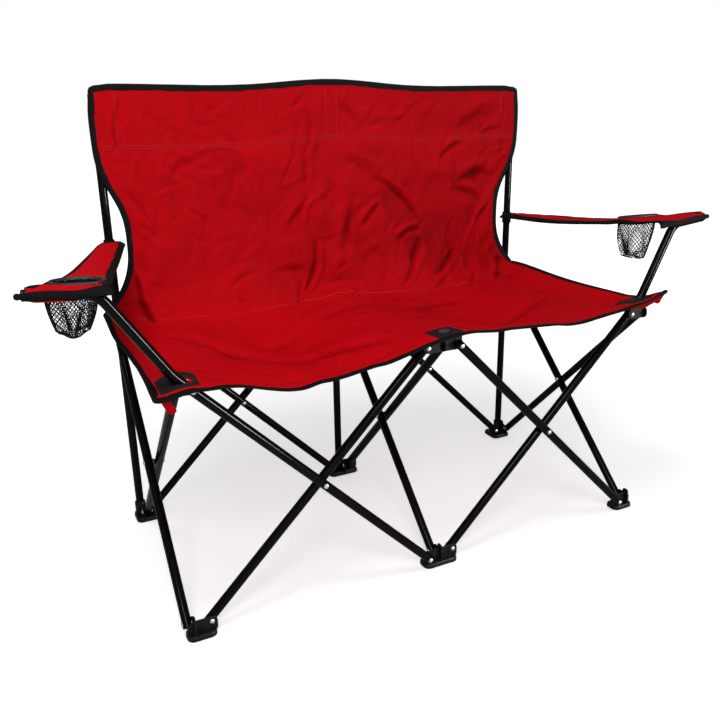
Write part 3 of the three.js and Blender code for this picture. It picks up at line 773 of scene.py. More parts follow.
ACROSS = 300
ALONG = 288
SEAT_RUN = 0.468  # from the front edge to the rear corner
BACK_RUN = 0.428
SLING_RUN = SEAT_RUN + BACK_RUN
HALF = 0.482
FRONT_Y = -0.2570
BACK_TOP = 0.8705
WAIST_Z = 0.586
BACK_HALF = 0.4795  # half width of the back away from its waist
BACK_FOOT = 0.442
BAY_EDGE = 0.045  # from a column to where a seat starts to sag
HEM_Z = 0.758  # line of stitches below the pockets
WAIST_IN = {-1: 0.043, 1: 0.053}  # how far each side of the back draws in
FRONT_DIP = {-1: 0.033, 1: 0.014}  # of the front edge between the brackets
SEAT_SAG = 0.036
BROAD_SAG = 0.008
CRUMPLED_FROM = 0.40  # creases lie deeper from here on, along the sheet
SEAT_SHARE = 0.6  # of their depth before that
CREASES = 560
CREASE_SEED = 7
MOST_HUNG = 0.011  # most that the hanging cloth may leave its smooth sheet


def bay(x):
    """1 in the middle of a seat, 0 beside the posts and brackets."""
    share = np.clip((np.abs(x) - BAY_EDGE) / (PITCH - 2 * BAY_EDGE), 0, 1)
    return np.sin(math.pi * share) ** 2


def run_at(z):
    """Flat coordinate along the sheet at a height of the back."""
    return SEAT_RUN + BACK_RUN * (z - SEAT_TOP) / (BACK_TOP - SEAT_TOP)


HEM_A = run_at(HEM_Z)


def front_lift(x):
    """The front edge climbs a little from the left bracket to the right one."""
    return 0.0085 * smooth((x + PITCH) / (2 * PITCH))


# Height added along the front hem, from left to right
HEM_AT = (-0.484, -0.433, -0.400, -0.360, -0.330, -0.300, -0.272, -0.245, -0.220, -0.180,
          -0.150, -0.128, -0.100, -0.075, -0.030, 0.010, 0.035, 0.062, 0.090, 0.115,
          0.180, 0.220, 0.250, 0.280, 0.320, 0.375, 0.410, 0.440, 0.460, 0.484)
HEM_LIFT = (-0.0010, -0.0015, 0, 0.0005, -0.0016, -0.0034, -0.0026, 0.0042, 0.0022, 0.0005,
            -0.0017, -0.0066, -0.0062, -0.0036, 0.0050, 0.0100, 0.0108, 0.0075, 0.0056, 0.0080,
            0.0102, 0.0096, 0.0042, 0.0020, 0.0030, 0.0034, 0.0070, 0.0118, 0.0120, 0.0020)


def hem_lift(x):
    """The hem's own line, a little smoothed."""
    around = np.array((-0.008, -0.004, 0, 0.004, 0.008))
    return np.mean([np.interp(x + shift, HEM_AT, HEM_LIFT) for shift in around], axis=0)


def seat_height(x, y):
    """Height of the seat: its sag, its side edges and its front hem."""
    t = np.clip((y - FRONT_Y) / (BACK_FACE - FRONT_Y), 0, 1)
    dip = np.where(x < 0, FRONT_DIP[-1], FRONT_DIP[1]) * bay(np.where(x < 0, x * 0.94, x))
    sag = SEAT_SAG * bay(x) + BROAD_SAG * np.exp(-((np.abs(x) - 0.2) / 0.3) ** 2)
    hang = np.sin(math.pi * np.clip((t - 0.08) / 0.92, 0, 1)) ** 2
    z = SEAT_TOP - dip * (1 - smooth(t / 0.45)) - sag * hang
    left_edge = 0.008 + 0.004 * smooth(t / 0.2) - 0.020 * smooth((t - 0.72) / 0.28)
    right_edge = np.interp(t, (0, 0.20, 0.50, 0.90), (0.0100, 0.0020, 0.0100, 0.0205))
    wide = 0.027 * (1 - smooth((t - 0.05) / 0.20))
    z = z + right_edge * smooth((x - 0.435) / 0.05) - left_edge * smooth((-x - 0.462 + wide) / (0.020 + wide))
    hem_reach = 0.35 - 0.21 * smooth((x - 0.36) / 0.06)
    z = z + front_lift(x) * (1 - smooth(t / 0.7)) + hem_lift(x) * (1 - smooth(t / hem_reach))
    hump = np.exp(-(((x + 0.450) / 0.050) ** 2)) * smooth(t / 0.12) * (1 - smooth((t - 0.15) / 0.16))
    z = z + 0.008 * hump
    z = z - 0.004 * smooth((-x - 0.37) / 0.05) * (1 - smooth(t / 0.030))
    return z + 0.012 * smooth((x - 0.455) / 0.03) * (1 - smooth(t / 0.13))


def back_depth(x, z):
    """Depth of the back, which bows between the posts and curls at the waist."""
    v = np.clip((z - BACK_FOOT) / (BACK_TOP - BACK_FOOT), 0, 1)
    curl = 0.002 * np.exp(-np.abs((z - WAIST_Z) / 0.1) ** 3) * smooth((np.abs(x) - 0.36) / 0.12)
    return BACK_FACE + 0.009 * bay(x) * np.sin(math.pi * v) ** 2 - curl


def top_height(x):
    """Height of the top edge, which stands highest at the centre post."""
    corner = 0.003 * smooth((np.abs(x) - 0.448) / 0.034)
    return BACK_TOP + 0.011 * np.exp(-((x / 0.13) ** 2)) - 0.002 * bay(x) - corner


def edge_at(z, side):
    """Half width of one side of the back at a height."""
    waist = WAIST_IN[side] * np.exp(-np.abs((z - WAIST_Z) / 0.106) ** 3)
    hip = 0.012 * np.exp(-(((z - 0.457) / 0.024) ** 2))
    return BACK_HALF - waist + hip - 0.005 * smooth((z - 0.79) / 0.075) ** 2


def rounded_in(beyond, radius):
    """How far a side edge draws in to round a corner; beyond counts from the end edge."""
    share = np.clip(1 + beyond / radius, 0, 1)
    return radius * (1 - np.sqrt(1 - share**2))


def sling_base():
    """Smooth sheet before it hangs and creases, and its flat coordinates."""
    x = np.broadcast_to(np.linspace(-HALF, HALF, ACROSS + 1)[None, :], (ALONG + 1, ACROSS + 1))
    a = np.broadcast_to(np.linspace(0, SLING_RUN, ALONG + 1)[:, None], x.shape)
    corner_run = 0.020 + 0.042 * smooth((HALF - np.abs(x)) / 0.06) + 0.060 * bay(x)

    def seat(a):
        y = FRONT_Y + 0.005 * bay(x) * (1 - a / SEAT_RUN) + (BACK_FACE - FRONT_Y) * a / SEAT_RUN
        return y, seat_height(x, y)

    def back(a):
        z = SEAT_TOP + (top_height(x) - SEAT_TOP) * (a - SEAT_RUN) / BACK_RUN
        return back_depth(x, z), z

    y, z = np.where(a < SEAT_RUN, np.array(seat(a)), np.array(back(a)))
    t = np.clip((a - SEAT_RUN + corner_run) / (2 * corner_run), 0, 1)
    start, end = np.array(seat(SEAT_RUN - corner_run)), np.array(back(SEAT_RUN + corner_run))
    rear_z = seat_height(x, 0 * x + BACK_FACE)
    corner = np.array((back(SEAT_RUN + 0 * a)[0], start[1] + (rear_z - start[1]) * 0.5))
    curve = (1 - t) ** 2 * start + 2 * t * (1 - t) * corner + t**2 * end
    inside = np.abs(a - SEAT_RUN) < corner_run
    y, z = np.where(inside, curve, np.array((y, z)))
    on_back = smooth((a - SEAT_RUN + 0.008) / 0.030)
    edge = np.where(x < 0, edge_at(z[:, :1], -1), edge_at(z[:, -1:], 1))
    left_edge = SEAT_EDGE + 0.0070 + 0.010 * (1 - smooth(a / 0.18)) + 0.006 * smooth((a - 0.25) / 0.15)
    seat_edge = np.where(x < 0, left_edge, SEAT_EDGE)
    rounding = rounded_in(a - SEAT_RUN - BACK_RUN, 0.010), rounded_in(-a, 0.008)
    half = seat_edge + (edge - seat_edge) * on_back - rounding[0] - rounding[1]
    pull = np.abs(x / HALF) ** 6
    wide = x + np.sign(x) * pull * (half - HALF)
    return np.stack([wide, y, z], -1), np.stack([x, a], -1)


# Folds that show in the cloth: start, end, depth and width, in flat metres across and along the sheet
FOLDS = [
    (0.110, 0.707, 0.220, 0.617, -0.0050, 0.007), (0.017, 0.860, 0.087, 0.790, -0.0030, 0.009),
    (0.150, 0.573, 0.213, 0.593, -0.0055, 0.007), (0.223, 0.567, 0.190, 0.515, -0.0060, 0.010),
    (0.200, 0.530, 0.153, 0.453, -0.0050, 0.008), (0.313, 0.540, 0.240, 0.477, -0.0055, 0.008),
    (0.305, 0.698, 0.433, 0.710, -0.0055, 0.012), (0.313, 0.682, 0.393, 0.643, -0.0050, 0.010),
    (0.273, 0.753, 0.330, 0.777, -0.0045, 0.007), (0.380, 0.590, 0.417, 0.633, -0.0045, 0.008),
    (0.420, 0.440, 0.450, 0.500, -0.0060, 0.012), (0.395, 0.425, 0.440, 0.470, -0.0050, 0.010),
    (0.018, 0.560, 0.045, 0.665, -0.0048, 0.010), (-0.002, 0.515, 0.022, 0.530, -0.0035, 0.010),
    (0.067, 0.613, 0.107, 0.650, -0.0050, 0.008), (0.035, 0.745, 0.110, 0.700, -0.0030, 0.012),
    (-0.040, 0.840, -0.063, 0.753, -0.0025, 0.007), (-0.063, 0.760, -0.060, 0.695, -0.0030, 0.007),
    (-0.110, 0.620, -0.070, 0.653, -0.0035, 0.008), (-0.077, 0.612, -0.050, 0.668, 0.0035, 0.007),
    (-0.047, 0.575, -0.050, 0.515, -0.0055, 0.007), (-0.049, 0.528, -0.075, 0.467, -0.0055, 0.007),
    (-0.083, 0.500, -0.107, 0.420, -0.0035, 0.008), (-0.452, 0.548, -0.424, 0.486, -0.0050, 0.006),
    (-0.430, 0.494, -0.398, 0.425, -0.0085, 0.007),
    (-0.430, 0.645, -0.390, 0.625, -0.0025, 0.007), (-0.240, 0.500, -0.187, 0.540, -0.0025, 0.008),
    (-0.135, 0.535, -0.080, 0.530, -0.0025, 0.008), (-0.353, 0.723, -0.280, 0.767, -0.0012, 0.008),
    (-0.300, 0.765, -0.215, 0.780, -0.0012, 0.007), (0.000, 0.415, 0.000, 0.460, -0.0030, 0.007),
    (0.037, 0.405, 0.034, 0.475, -0.0032, 0.007), (0.130, 0.520, 0.085, 0.440, -0.0025, 0.009),
    (0.270, 0.470, 0.215, 0.420, -0.0030, 0.009), (0.350, 0.470, 0.310, 0.415, -0.0032, 0.009),
    (0.300, 0.805, 0.400, 0.845, -0.0028, 0.013), (0.385, 0.795, 0.430, 0.812, -0.0030, 0.007),
    (-0.434, 0.760, -0.434, 0.885, -0.0020, 0.005), (0.434, 0.760, 0.434, 0.885, -0.0020, 0.005),
    (-0.012, 0.775, -0.012, 0.890, -0.0020, 0.004), (0.0125, 0.770, 0.0125, 0.890, -0.0022, 0.004),
    (-0.380, 0.345, -0.200, 0.150, -0.0055, 0.022), (-0.210, 0.160, -0.060, 0.120, -0.0045, 0.022),
    (0.060, 0.110, 0.200, 0.160, -0.0040, 0.020), (0.205, 0.170, 0.400, 0.260, -0.0045, 0.022),
    (-0.120, 0.330, 0.040, 0.380, -0.0040, 0.018), (0.090, 0.330, 0.290, 0.380, -0.0040, 0.018),
    (-0.350, 0.250, -0.150, 0.300, -0.0035, 0.020),
]


# Broad hollows: middle, reach across and along, and depth
HOLLOWS = [
    (0.035, 0.610, 0.022, 0.050, -0.0028), (0.340, 0.690, 0.080, 0.030, -0.0045),
    (0.250, 0.600, 0.090, 0.040, -0.0050), (0.430, 0.470, 0.040, 0.050, -0.0080),
    (0.200, 0.540, 0.030, 0.040, -0.0050), (0.290, 0.515, 0.040, 0.030, -0.0050),
    (0.060, 0.735, 0.040, 0.025, -0.0040), (-0.190, 0.640, 0.060, 0.040, -0.0040),
    (0.350, 0.820, 0.050, 0.025, -0.0035), (-0.050, 0.740, 0.015, 0.050, -0.0030),
    (0.370, 0.610, 0.040, 0.030, -0.0045), (-0.270, 0.755, 0.060, 0.018, -0.0012),
    (-0.340, 0.690, 0.050, 0.030, -0.0015), (0.140, 0.660, 0.050, 0.030, -0.0040),
    (-0.060, 0.500, 0.020, 0.040, -0.0040), (0.130, 0.780, 0.050, 0.020, 0.0030),
    (0.120, 0.600, 0.030, 0.030, 0.0040), (-0.030, 0.620, 0.025, 0.040, 0.0035),
    (0.260, 0.720, 0.040, 0.025, 0.0035), (-0.130, 0.580, 0.050, 0.030, 0.0030),
]


def wandering(flat):
    """Flat coordinates shifted a little, so that straight folds come out curved."""
    x, a = flat[..., 0], flat[..., 1]
    sideways = np.sin(31 * a + 9 * x) + 0.6 * np.sin(67 * a - 21 * x + 1)
    lengthways = np.sin(29 * x + 7 * a + 2) + 0.6 * np.sin(71 * x + 3)
    return flat + 0.0035 * np.stack([sideways, lengthways], -1)


def crumple(flat, count, seed):
    """Short random creases and broad hollows, the same each run."""
    draw = np.random.default_rng(seed)
    height = np.zeros(flat.shape[:2])
    for _ in range(count):
        centre = draw.uniform((-HALF, 0.03), (HALF, 0.86))
        on_back = centre[1] > CRUMPLED_FROM
        lean = math.radians(60 if centre[0] > 0 else 115)
        angle = draw.normal(lean, 0.7) if on_back else draw.uniform(0, math.pi)
        length, width = draw.uniform(0.014, 0.050), draw.uniform(0.0040, 0.0085)
        depth = draw.choice((-1, 1)) * draw.uniform(0.0005, 0.0018) * (1 if on_back else SEAT_SHARE)
        height += fold(flat, centre, angle, length, width, depth)
    for _ in range(count // 6):
        centre = draw.uniform((-HALF, 0.05), (HALF, 0.84))
        reach = draw.uniform(0.022, 0.050, 2)
        off = (flat - centre) / reach
        share = 1 if centre[1] > CRUMPLED_FROM else SEAT_SHARE
        height += draw.uniform(-0.0048, 0.0048) * share * np.exp(-np.sum(off**2, -1))
    return height


def fold(flat, centre, angle, length, width, depth):
    """Height of one fold: a furrow with a lower ridge along one side."""
    way = np.array((math.cos(angle), math.sin(angle)))
    off = flat - np.asarray(centre)
    along = off @ way
    across = off @ np.array((-way[1], way[0])) + 0.12 * along**2 / max(length, 1e-6)
    taper = np.exp(-((along / length) ** 4))
    furrow = np.exp(-np.abs(across / width) ** 1.35)
    return depth * taper * (furrow - 0.70 * np.exp(-(((across - 2.0 * width) / (1.2 * width)) ** 2)))


def folded_height(flat):
    """Height of all the listed folds and hollows."""
    height = np.zeros(flat.shape[:2])
    for x0, a0, x1, a1, depth, width in FOLDS:
        run = np.array((x1 - x0, a1 - a0))
        centre = ((x0 + x1) / 2, (a0 + a1) / 2)
        angle, length = math.atan2(run[1], run[0]), np.linalg.norm(run) / 2
        height += fold(flat, centre, angle, length, 0.82 * width, 1.35 * depth)
    for x, a, reach_x, reach_a, depth in HOLLOWS:
        height += depth * np.exp(-(((flat[..., 0] - x) / reach_x) ** 2) - ((flat[..., 1] - a) / reach_a) ** 2)
    return height


def held_share(flat, points):
    """1 where the cloth is sewn or carried, 0 where it hangs free."""
    x, a = flat[..., 0], flat[..., 1]
    edge = np.minimum.reduce([HALF - np.abs(x), a, SLING_RUN - a])
    held = 1 - smooth((edge - 0.011) / 0.022)
    in_pocket = smooth((points[..., 2] - 0.74) / 0.03)
    for column in COLUMNS.values():
        spot = np.clip(column, -0.455, 0.455)
        held = np.maximum(held, 1 - smooth((np.hypot(x - spot, a - 0.03) - 0.030) / 0.02))
        held = np.maximum(held, (1 - smooth((np.abs(x - column) - 0.012) / 0.012)) * in_pocket)
        rear = np.hypot(x - spot, a - SEAT_RUN + 0.012)
        held = np.maximum(held, 0.8 * (1 - smooth((rear - 0.02) / 0.02)))
    return held


CLOTH_SETTINGS = {
    "quality": 5, "mass": 0.12, "tension_stiffness": 14, "compression_stiffness": 14, "shear_stiffness": 5,
    "bending_stiffness": 1.5, "air_damping": 3, "shrink_min": -0.010, "vertex_group_mass": "held",
}


def settled(points, held, frames=22):
    """The sheet after it has hung for a moment as loose cloth, held where it is sewn."""
    rows, columns = points.shape[:2]
    obj = new_object("hanging", Shell().add(points, grid_faces(rows, columns)).mesh("hanging"))
    group = obj.vertex_groups.new(name="held")
    for i, share in enumerate(held.ravel()):
        group.add([i], float(share), "REPLACE")
    cloth = obj.modifiers.new("cloth", "CLOTH")
    for name, value in CLOTH_SETTINGS.items():
        setattr(cloth.settings, name, value)
    cloth.collision_settings.use_collision = False
    cloth.point_cache.frame_start, cloth.point_cache.frame_end = 1, frames
    scene = bpy.context.scene
    for number in range(1, frames + 1):
        scene.frame_set(number)
    graph = bpy.context.evaluated_depsgraph_get()
    hung = np.zeros(rows * columns * 3, np.float32)
    obj.evaluated_get(graph).data.vertices.foreach_get("co", hung)
    bpy.data.objects.remove(obj)
    scene.frame_set(1)
    return hung.reshape(points.shape).astype(float)


def filled(field):
    """Field known at every second point of a grid, with the points between filled in."""
    for axis in (0, 1):
        field = np.moveaxis(field, axis, 0)
        wide = np.concatenate([2 * field[:1] - field[1:2], field, 2 * field[-1:] - field[-2:-1]])
        full = np.empty((2 * len(field) - 1, *field.shape[1:]))
        full[::2] = field
        full[1::2] = (9 * (wide[1:-2] + wide[2:-1]) - wide[:-3] - wide[3:]) / 16
        field = np.moveaxis(full, 0, axis)
    return field


def eased(field, passes=3):
    """Field with its finest ripples averaged away."""
    for _ in range(passes):
        for axis in (0, 1):
            field = np.moveaxis(field, axis, 0)
            wide = np.concatenate([field[:1], field, field[-1:]])
            field = np.moveaxis((wide[:-2] + 2 * field + wide[2:]) / 4, 0, axis)
    return field


def sling():
    """Points, flat coordinates and painted crease shade of the finished sheet."""
    points, flat = sling_base()
    held = held_share(flat, points)
    coarse = points[::2, ::2]
    moved = eased(settled(coarse, held[::2, ::2]) - coarse) * (1 - held[::2, ::2, None])
    moved *= 1 - 0.8 * smooth((flat[::2, ::2, 1:] - HEM_A + 0.02) / 0.04)
    reach = np.linalg.norm(moved, axis=-1, keepdims=True)
    points = points + filled(moved * np.minimum(1, MOST_HUNG / np.maximum(reach, 1e-9)))
    curved = wandering(flat)
    height = (folded_height(curved) + crumple(curved, CREASES, CREASE_SEED)) * (1 - held)
    points = points + grid_normals(points) * height[..., None]
    on_back = points[..., 2] > 0.452
    for column in COLUMNS.values():
        near = (np.abs(points[..., 0] - column) < 0.014) & on_back
        points[..., 1] = np.where(near, np.minimum(points[..., 1], BACK_FACE + 0.0004), points[..., 1])
    # Painted shade in the folds: points that lie below the smoothed sheet around them get a darker colour.
    deep = eased(height, 14) * 0.35 - height - 0.0006
    return points, flat, np.clip(deep / 0.0080, 0, 1) * 0.80


# CREASE_SHADE holds the painted shade in the folds of the sheet.
SLING, FLAT, CREASE_SHADE = sling()
SLING_NORMAL = grid_normals(SLING)


def flat_row(a):
    """Row of the sheet at a flat coordinate."""
    return int(round(a / SLING_RUN * ALONG))


SEAM_ROW = flat_row(SEAT_RUN - 0.040)
MIDDLE_ROW = int(np.argmin(np.abs(SLING[:SEAM_ROW, ACROSS // 2, 1])))


def on_sling(x, a):
    """Point and normal of the sling at flat coordinates, as arrays."""
    i = np.clip((np.asarray(x, float) + HALF) / (2 * HALF) * ACROSS, 0, ACROSS - 1e-6)
    j = np.clip(np.asarray(a, float) / SLING_RUN * ALONG, 0, ALONG - 1e-6)
    i0, j0 = i.astype(int), j.astype(int)
    fi, fj = (i - i0)[..., None], (j - j0)[..., None]

    def blend(field):
        low = field[j0, i0] * (1 - fi) + field[j0, i0 + 1] * fi
        high = field[j0 + 1, i0] * (1 - fi) + field[j0 + 1, i0 + 1] * fi
        return low * (1 - fj) + high * fj

    return blend(SLING), unit(blend(SLING_NORMAL))


def cloth_sheet(points, normals, flat, thickness=CLOTH, keep=None, crease_shade=None):
    """Shell of a thin sheet with two faces and a rim; keep says which quads stay."""
    rows, columns = points.shape[:2]
    size = rows * columns
    quads = grid_faces(rows, columns)
    if keep is not None:
        quads = quads[keep.ravel()]
    start, end = quads.ravel(), np.roll(quads, -1, axis=1).ravel()
    open_edge = ~np.isin(end * size + start, start * size + end)
    start, end = start[open_edge], end[open_edge]
    rim = np.stack([end, start, start + size, end + size], -1)
    faces = np.concatenate([quads, quads[:, ::-1] + size, rim])
    points, normals, flat = points.reshape(-1, 3), normals.reshape(-1, 3), flat.reshape(-1, 2)
    offset = normals * thickness / 2
    if crease_shade is not None:
        crease_shade = np.concatenate([crease_shade.ravel()] * 2)
    return Shell().add(np.concatenate([points + offset, points - offset]), faces, np.concatenate([flat] * 2),
                       np.concatenate([normals, -normals]), crease_shade)


TAPE_SECTION = np.array([
    (1.00, 0.75), (0.55, 1.05), (0.10, 1.00), (-0.10, 0.55), (-0.12, 0.0),
    (-0.10, -0.55), (0.10, -1.00), (0.55, -1.05), (1.00, -0.75), (1.02, 0.0),
])


def steady(ways, reach=9):
    """Directions along an edge, each averaged with its neighbours."""
    weight = np.hanning(2 * reach + 3)[1:-1]
    ends = np.concatenate([np.repeat(ways[:1], reach, 0), ways, np.repeat(ways[-1:], reach, 0)])
    return unit(np.stack([np.convolve(ends[:, k], weight, "valid") for k in range(3)], -1))


def tape_strip(edge, inward, normal, width=TAPE_WIDTH, face=TAPE_FACE):
    """Points, faces and flat coordinates of a tape folded over an edge."""
    run = run_along(edge)
    normal = steady(normal)
    square = np.cross(normal, np.gradient(edge, axis=0))
    square *= np.sign(np.sum(steady(inward, 20) * square, -1, keepdims=True))
    inward = steady(square, 4)
    inward = unit(inward - normal * np.sum(inward * normal, -1, keepdims=True))
    wander = 1 + 0.05 * np.sin(run * 61) + 0.04 * np.sin(run * 143 + 1)
    half = CLOTH / 2 + face
    rings = [edge + inward * (b * width * wander)[:, None] + normal * n * half for b, n in TAPE_SECTION]
    points, faces = ringed(np.stack(rings, 1))
    return points, faces, paired(TAPE_SECTION[None, :, 0] * width, run[:, None])


def sling_edge(rows=None, columns=None, side=0):
    """Edge of the sling with its inward way and normal: a side for rows, front or top for columns."""
    if rows is not None:
        i, inner = (0, 1) if side < 0 else (ACROSS, ACROSS - 1)
        return SLING[rows, i], unit(SLING[rows, inner] - SLING[rows, i]), SLING_NORMAL[rows, i]
    j, inner = (0, 1) if side < 0 else (ALONG, ALONG - 1)
    return SLING[j, columns], unit(SLING[inner, columns] - SLING[j, columns]), SLING_NORMAL[j, columns]


def joined_edge(*parts):
    """One edge from several that follow each other."""
    return [np.concatenate([part[k] for part in parts]) for k in range(3)]


def flipped(part):
    return [field[::-1] for field in part]


def squash_width(obj):
    """Cloth object, given a mesh of its own."""
    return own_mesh(obj)


def arm_slot(rows):
    """Quads of the front panel that stay clear of the arm tubes."""
    keep = np.ones((rows - 1, ACROSS), bool)
    centres = (SLING[:rows - 1, :-1] + SLING[1:rows, 1:]) / 2
    for arm in ARMS.values():
        x, y = patch_slot(arm)
        keep &= np.hypot((centres[..., 0] - x) / 0.0115, (centres[..., 1] - y) / 0.0104) > 1
    return keep


def patch_slot(arm):
    """Where an arm tube comes up through the seat."""
    path = arm["path"]
    seat_z = seat_height(arm["side"] * 0.452, path[0, 1]) + 0.002
    level = np.interp(seat_z, path[:, 2][:-2], np.arange(len(path) - 2))
    i = int(level)
    spot = path[i] + (path[i + 1] - path[i]) * (level - i)
    return spot[0], spot[1]


all_columns = np.arange(ACROSS + 1)
front_rows = np.arange(0, MIDDLE_ROW + 1)
rear_rows = np.arange(MIDDLE_ROW, SEAM_ROW + 1)
back_rows = np.arange(SEAM_ROW, ALONG + 1)


def sling_piece(name, rows, body, node, keep=None):
    shell = cloth_sheet(SLING[rows], SLING_NORMAL[rows], FLAT[rows], keep=keep, crease_shade=CREASE_SHADE[rows])
    return squash_width(piece(name, shell, RED, body, [node], SHARP_CLOTH))


back_cloth = sling_piece("back_cloth", back_rows, "rear_centre_foot", "back_panel")
seat_rear_cloth = sling_piece("seat_rear_cloth", rear_rows, "seat_rear_panel", "seat_rear_panel")
seat_front_cloth = sling_piece("seat_front_cloth", front_rows, "seat_front_panel", "seat_front_panel",
                               arm_slot(len(front_rows)))


def tape_piece(name, edges, body):
    shell = Shell()
    for edge in edges:
        shell.add(*tape_strip(*edge))
    return squash_width(piece(name, shell, TAPE, body, (), SHARP_TAPE))


TOP_TURN = 4  # columns over which the tape turns a top corner
FRONT_TURN = 3
left_back, right_back = [sling_edge(rows=back_rows, side=side) for side in SIDES.values()]
rear_sides = [sling_edge(rows=rear_rows, side=side) for side in SIDES.values()]
left_front, right_front = [sling_edge(rows=front_rows, side=side) for side in SIDES.values()]
top_edge = sling_edge(columns=all_columns[TOP_TURN:-TOP_TURN], side=1)
front_edge = sling_edge(columns=all_columns[FRONT_TURN:-FRONT_TURN], side=-1)
back_edge = joined_edge(left_back, top_edge, flipped(right_back))
seat_edge = joined_edge(flipped(left_front), front_edge, right_front)
back_tape = tape_piece("back_tape", [back_edge], "rear_centre_foot")
seat_rear_tape = tape_piece("seat_rear_tape", rear_sides, "seat_rear_panel")
seat_front_tape = tape_piece("seat_front_tape", [seat_edge], "seat_front_panel")
tape_end_at, _ = on_sling(np.array(0.481), np.array(0.004))
end_shell = Shell().add(*turned(TAPE_END, SLING[0, -4] - SLING[0, -16], tape_end_at, 14))
seat_tape_end = squash_width(piece("seat_tape_end", end_shell, TAPE, "seat_front_panel"))


# Pocket band behind the posts, and the stitches that hold it

POCKET_FOOT = 0.754
BAND_GAP = 0.0016
BAND_CLOTH = 0.0009
POCKET_LINES = (-0.4335, -0.0120, 0.0125, 0.4335)


def pocket_swell(x):
    """How far the band stands behind the back cloth, to go round the posts."""
    depth = POST_Y + TUBE_R + 0.0012 - BACK_FACE
    swell = np.zeros_like(x)
    for column in COLUMNS.values():
        reach = 0.017 if column == 0 else 0.0345
        swell = np.maximum(swell, depth * smooth(1.25 - 1.25 * np.abs(x - column) / reach))
    return swell


def pocket_band():
    """Band across the back, from its foot to the top edge."""
    level = np.linspace(0, 1, 13)[:, None]
    across = np.linspace(-HALF, HALF, 221)[None, :]
    top = SLING_RUN - 0.0015
    foot = run_at(POCKET_FOOT)
    a = foot + (top - foot) * level + 0 * across
    x = across + 0 * level
    points, _ = on_sling(x, a)
    close = smooth((1 - level) / 0.09) * smooth((HALF - np.abs(x)) / 0.008)
    swell = np.maximum(BAND_GAP, pocket_swell(points[..., 0])) * close
    swell += 0.0007 * np.sin(x * 130 + level * 5) * smooth((swell - 0.001) / 0.004) * close
    points = points + np.array((0, 1, 0)) * swell[..., None]
    return cloth_sheet(points, grid_normals(points), np.stack([x, a + 1.0], -1), BAND_CLOTH)


pocket_cloth = piece("pocket_band", pocket_band(), RED, "rear_centre_foot", (), SHARP_CLOTH)
squash_width(pocket_cloth)


def stitches(lines, pitch=0.0062, length=0.0044, radius=0.00042):
    """Row of short thread stitches along lines of points and normals."""
    shell = Shell()
    ring = circle(5)
    lift = np.array((-0.0002, 0.0002, 0.0003, 0.0002, -0.0002)) + CLOTH / 2
    for points, normals in lines:
        run = run_along(points)
        for start in np.arange(pitch, run[-1] - pitch, pitch):
            stops = start + length * np.array((0, 0.2, 0.5, 0.8, 1))
            spot = np.stack([np.interp(stops, run, points[:, k]) for k in range(3)], -1)
            up = unit(np.stack([np.interp(stops, run, normals[:, k]) for k in range(3)], -1))
            spot = spot + up * lift[:, None]
            side = unit(np.cross(unit(spot[-1] - spot[0]), up[2]))
            round_thread = np.outer(np.cos(ring), side) + np.outer(np.sin(ring), up[2])
            rings = [centre + radius * round_thread for centre in spot]
            shell.add(*ringed(np.array(rings)[:, ::-1]))
    return shell


TOP_A = SLING_RUN - 0.010
along_hem = np.linspace(-0.470, 0.470, 240)
along_seam = np.linspace(-0.462, 0.462, 240)
up_line = np.linspace(HEM_A, TOP_A, 40)
back_lines = [on_sling(along_hem, np.full(240, HEM_A + beside)) for beside in (0, 0.005)]
back_lines += [on_sling(np.full(40, x), up_line) for x in POCKET_LINES]
back_lines.append(on_sling(along_seam, np.full(240, FLAT[SEAM_ROW, 0, 1] + 0.005)))
back_stitches = piece("back_stitches", stitches(back_lines), THREAD, "rear_centre_foot")
squash_width(back_stitches)


# Black patches over the front brackets

PATCH = 0.050
PATCH_AT = {"left": (-0.4470, 0.0370), "centre": (0.0, 0.0360), "right": (0.4385, 0.0400)}  # across and along
PATCH_SLOT = (0.0125, 0.0092)
BUTTON_HOLE = (0.0095, 0.0095)
SQUARE = 48  # power of the superellipse that gives a patch its corners


def patch_shell(at, slot_at, slot_size):
    """Square of webbing laid on the seat, with an oval slot."""
    turn = np.linspace(0, 2 * math.pi, 97)[:-1] + math.pi / 4
    way = np.c_[np.cos(turn), np.sin(turn)]
    slot = np.array(slot_at) + np.array(slot_size) * way
    square = way * (PATCH / 2 / (np.abs(way) ** SQUARE).sum(1, keepdims=True) ** (1 / SQUARE))
    outer = np.array(at) + square
    shares = np.array((0.0, 0.06, 0.3, 0.55, 0.8, 0.93, 1.0))
    lift = np.array((0.0014, 0.0024, 0.0026, 0.0024, 0.0024, 0.0020, 0.0010))
    flat = slot[None] + (outer - slot)[None] * shares[:, None, None]
    inside = np.abs(flat[..., 0]) < HALF
    points, normals = on_sling(flat[..., 0], np.maximum(flat[..., 1], 0.0005))
    drop = np.minimum(flat[..., 1], 0) * inside
    points = points + np.array((0, 1.0, 0)) * drop[..., None]
    top = points + normals * lift[:, None, None]
    under = points + normals * 0.0007
    rings = np.concatenate([top, under[::-1]])
    return Shell().add(rings, loop_faces(*rings.shape[:2])[:, ::-1], np.concatenate([flat, flat[::-1]]))


def arm_hole(arm):
    """Flat place of the patch's slot, a little to the right of the tube."""
    x, y = patch_slot(arm)
    a = (y - FRONT_Y) / (BACK_FACE - FRONT_Y) * SEAT_RUN
    row = flat_row(a)
    return np.interp(x, SLING[row, :, 0], FLAT[row, :, 0]) + 0.0030, a


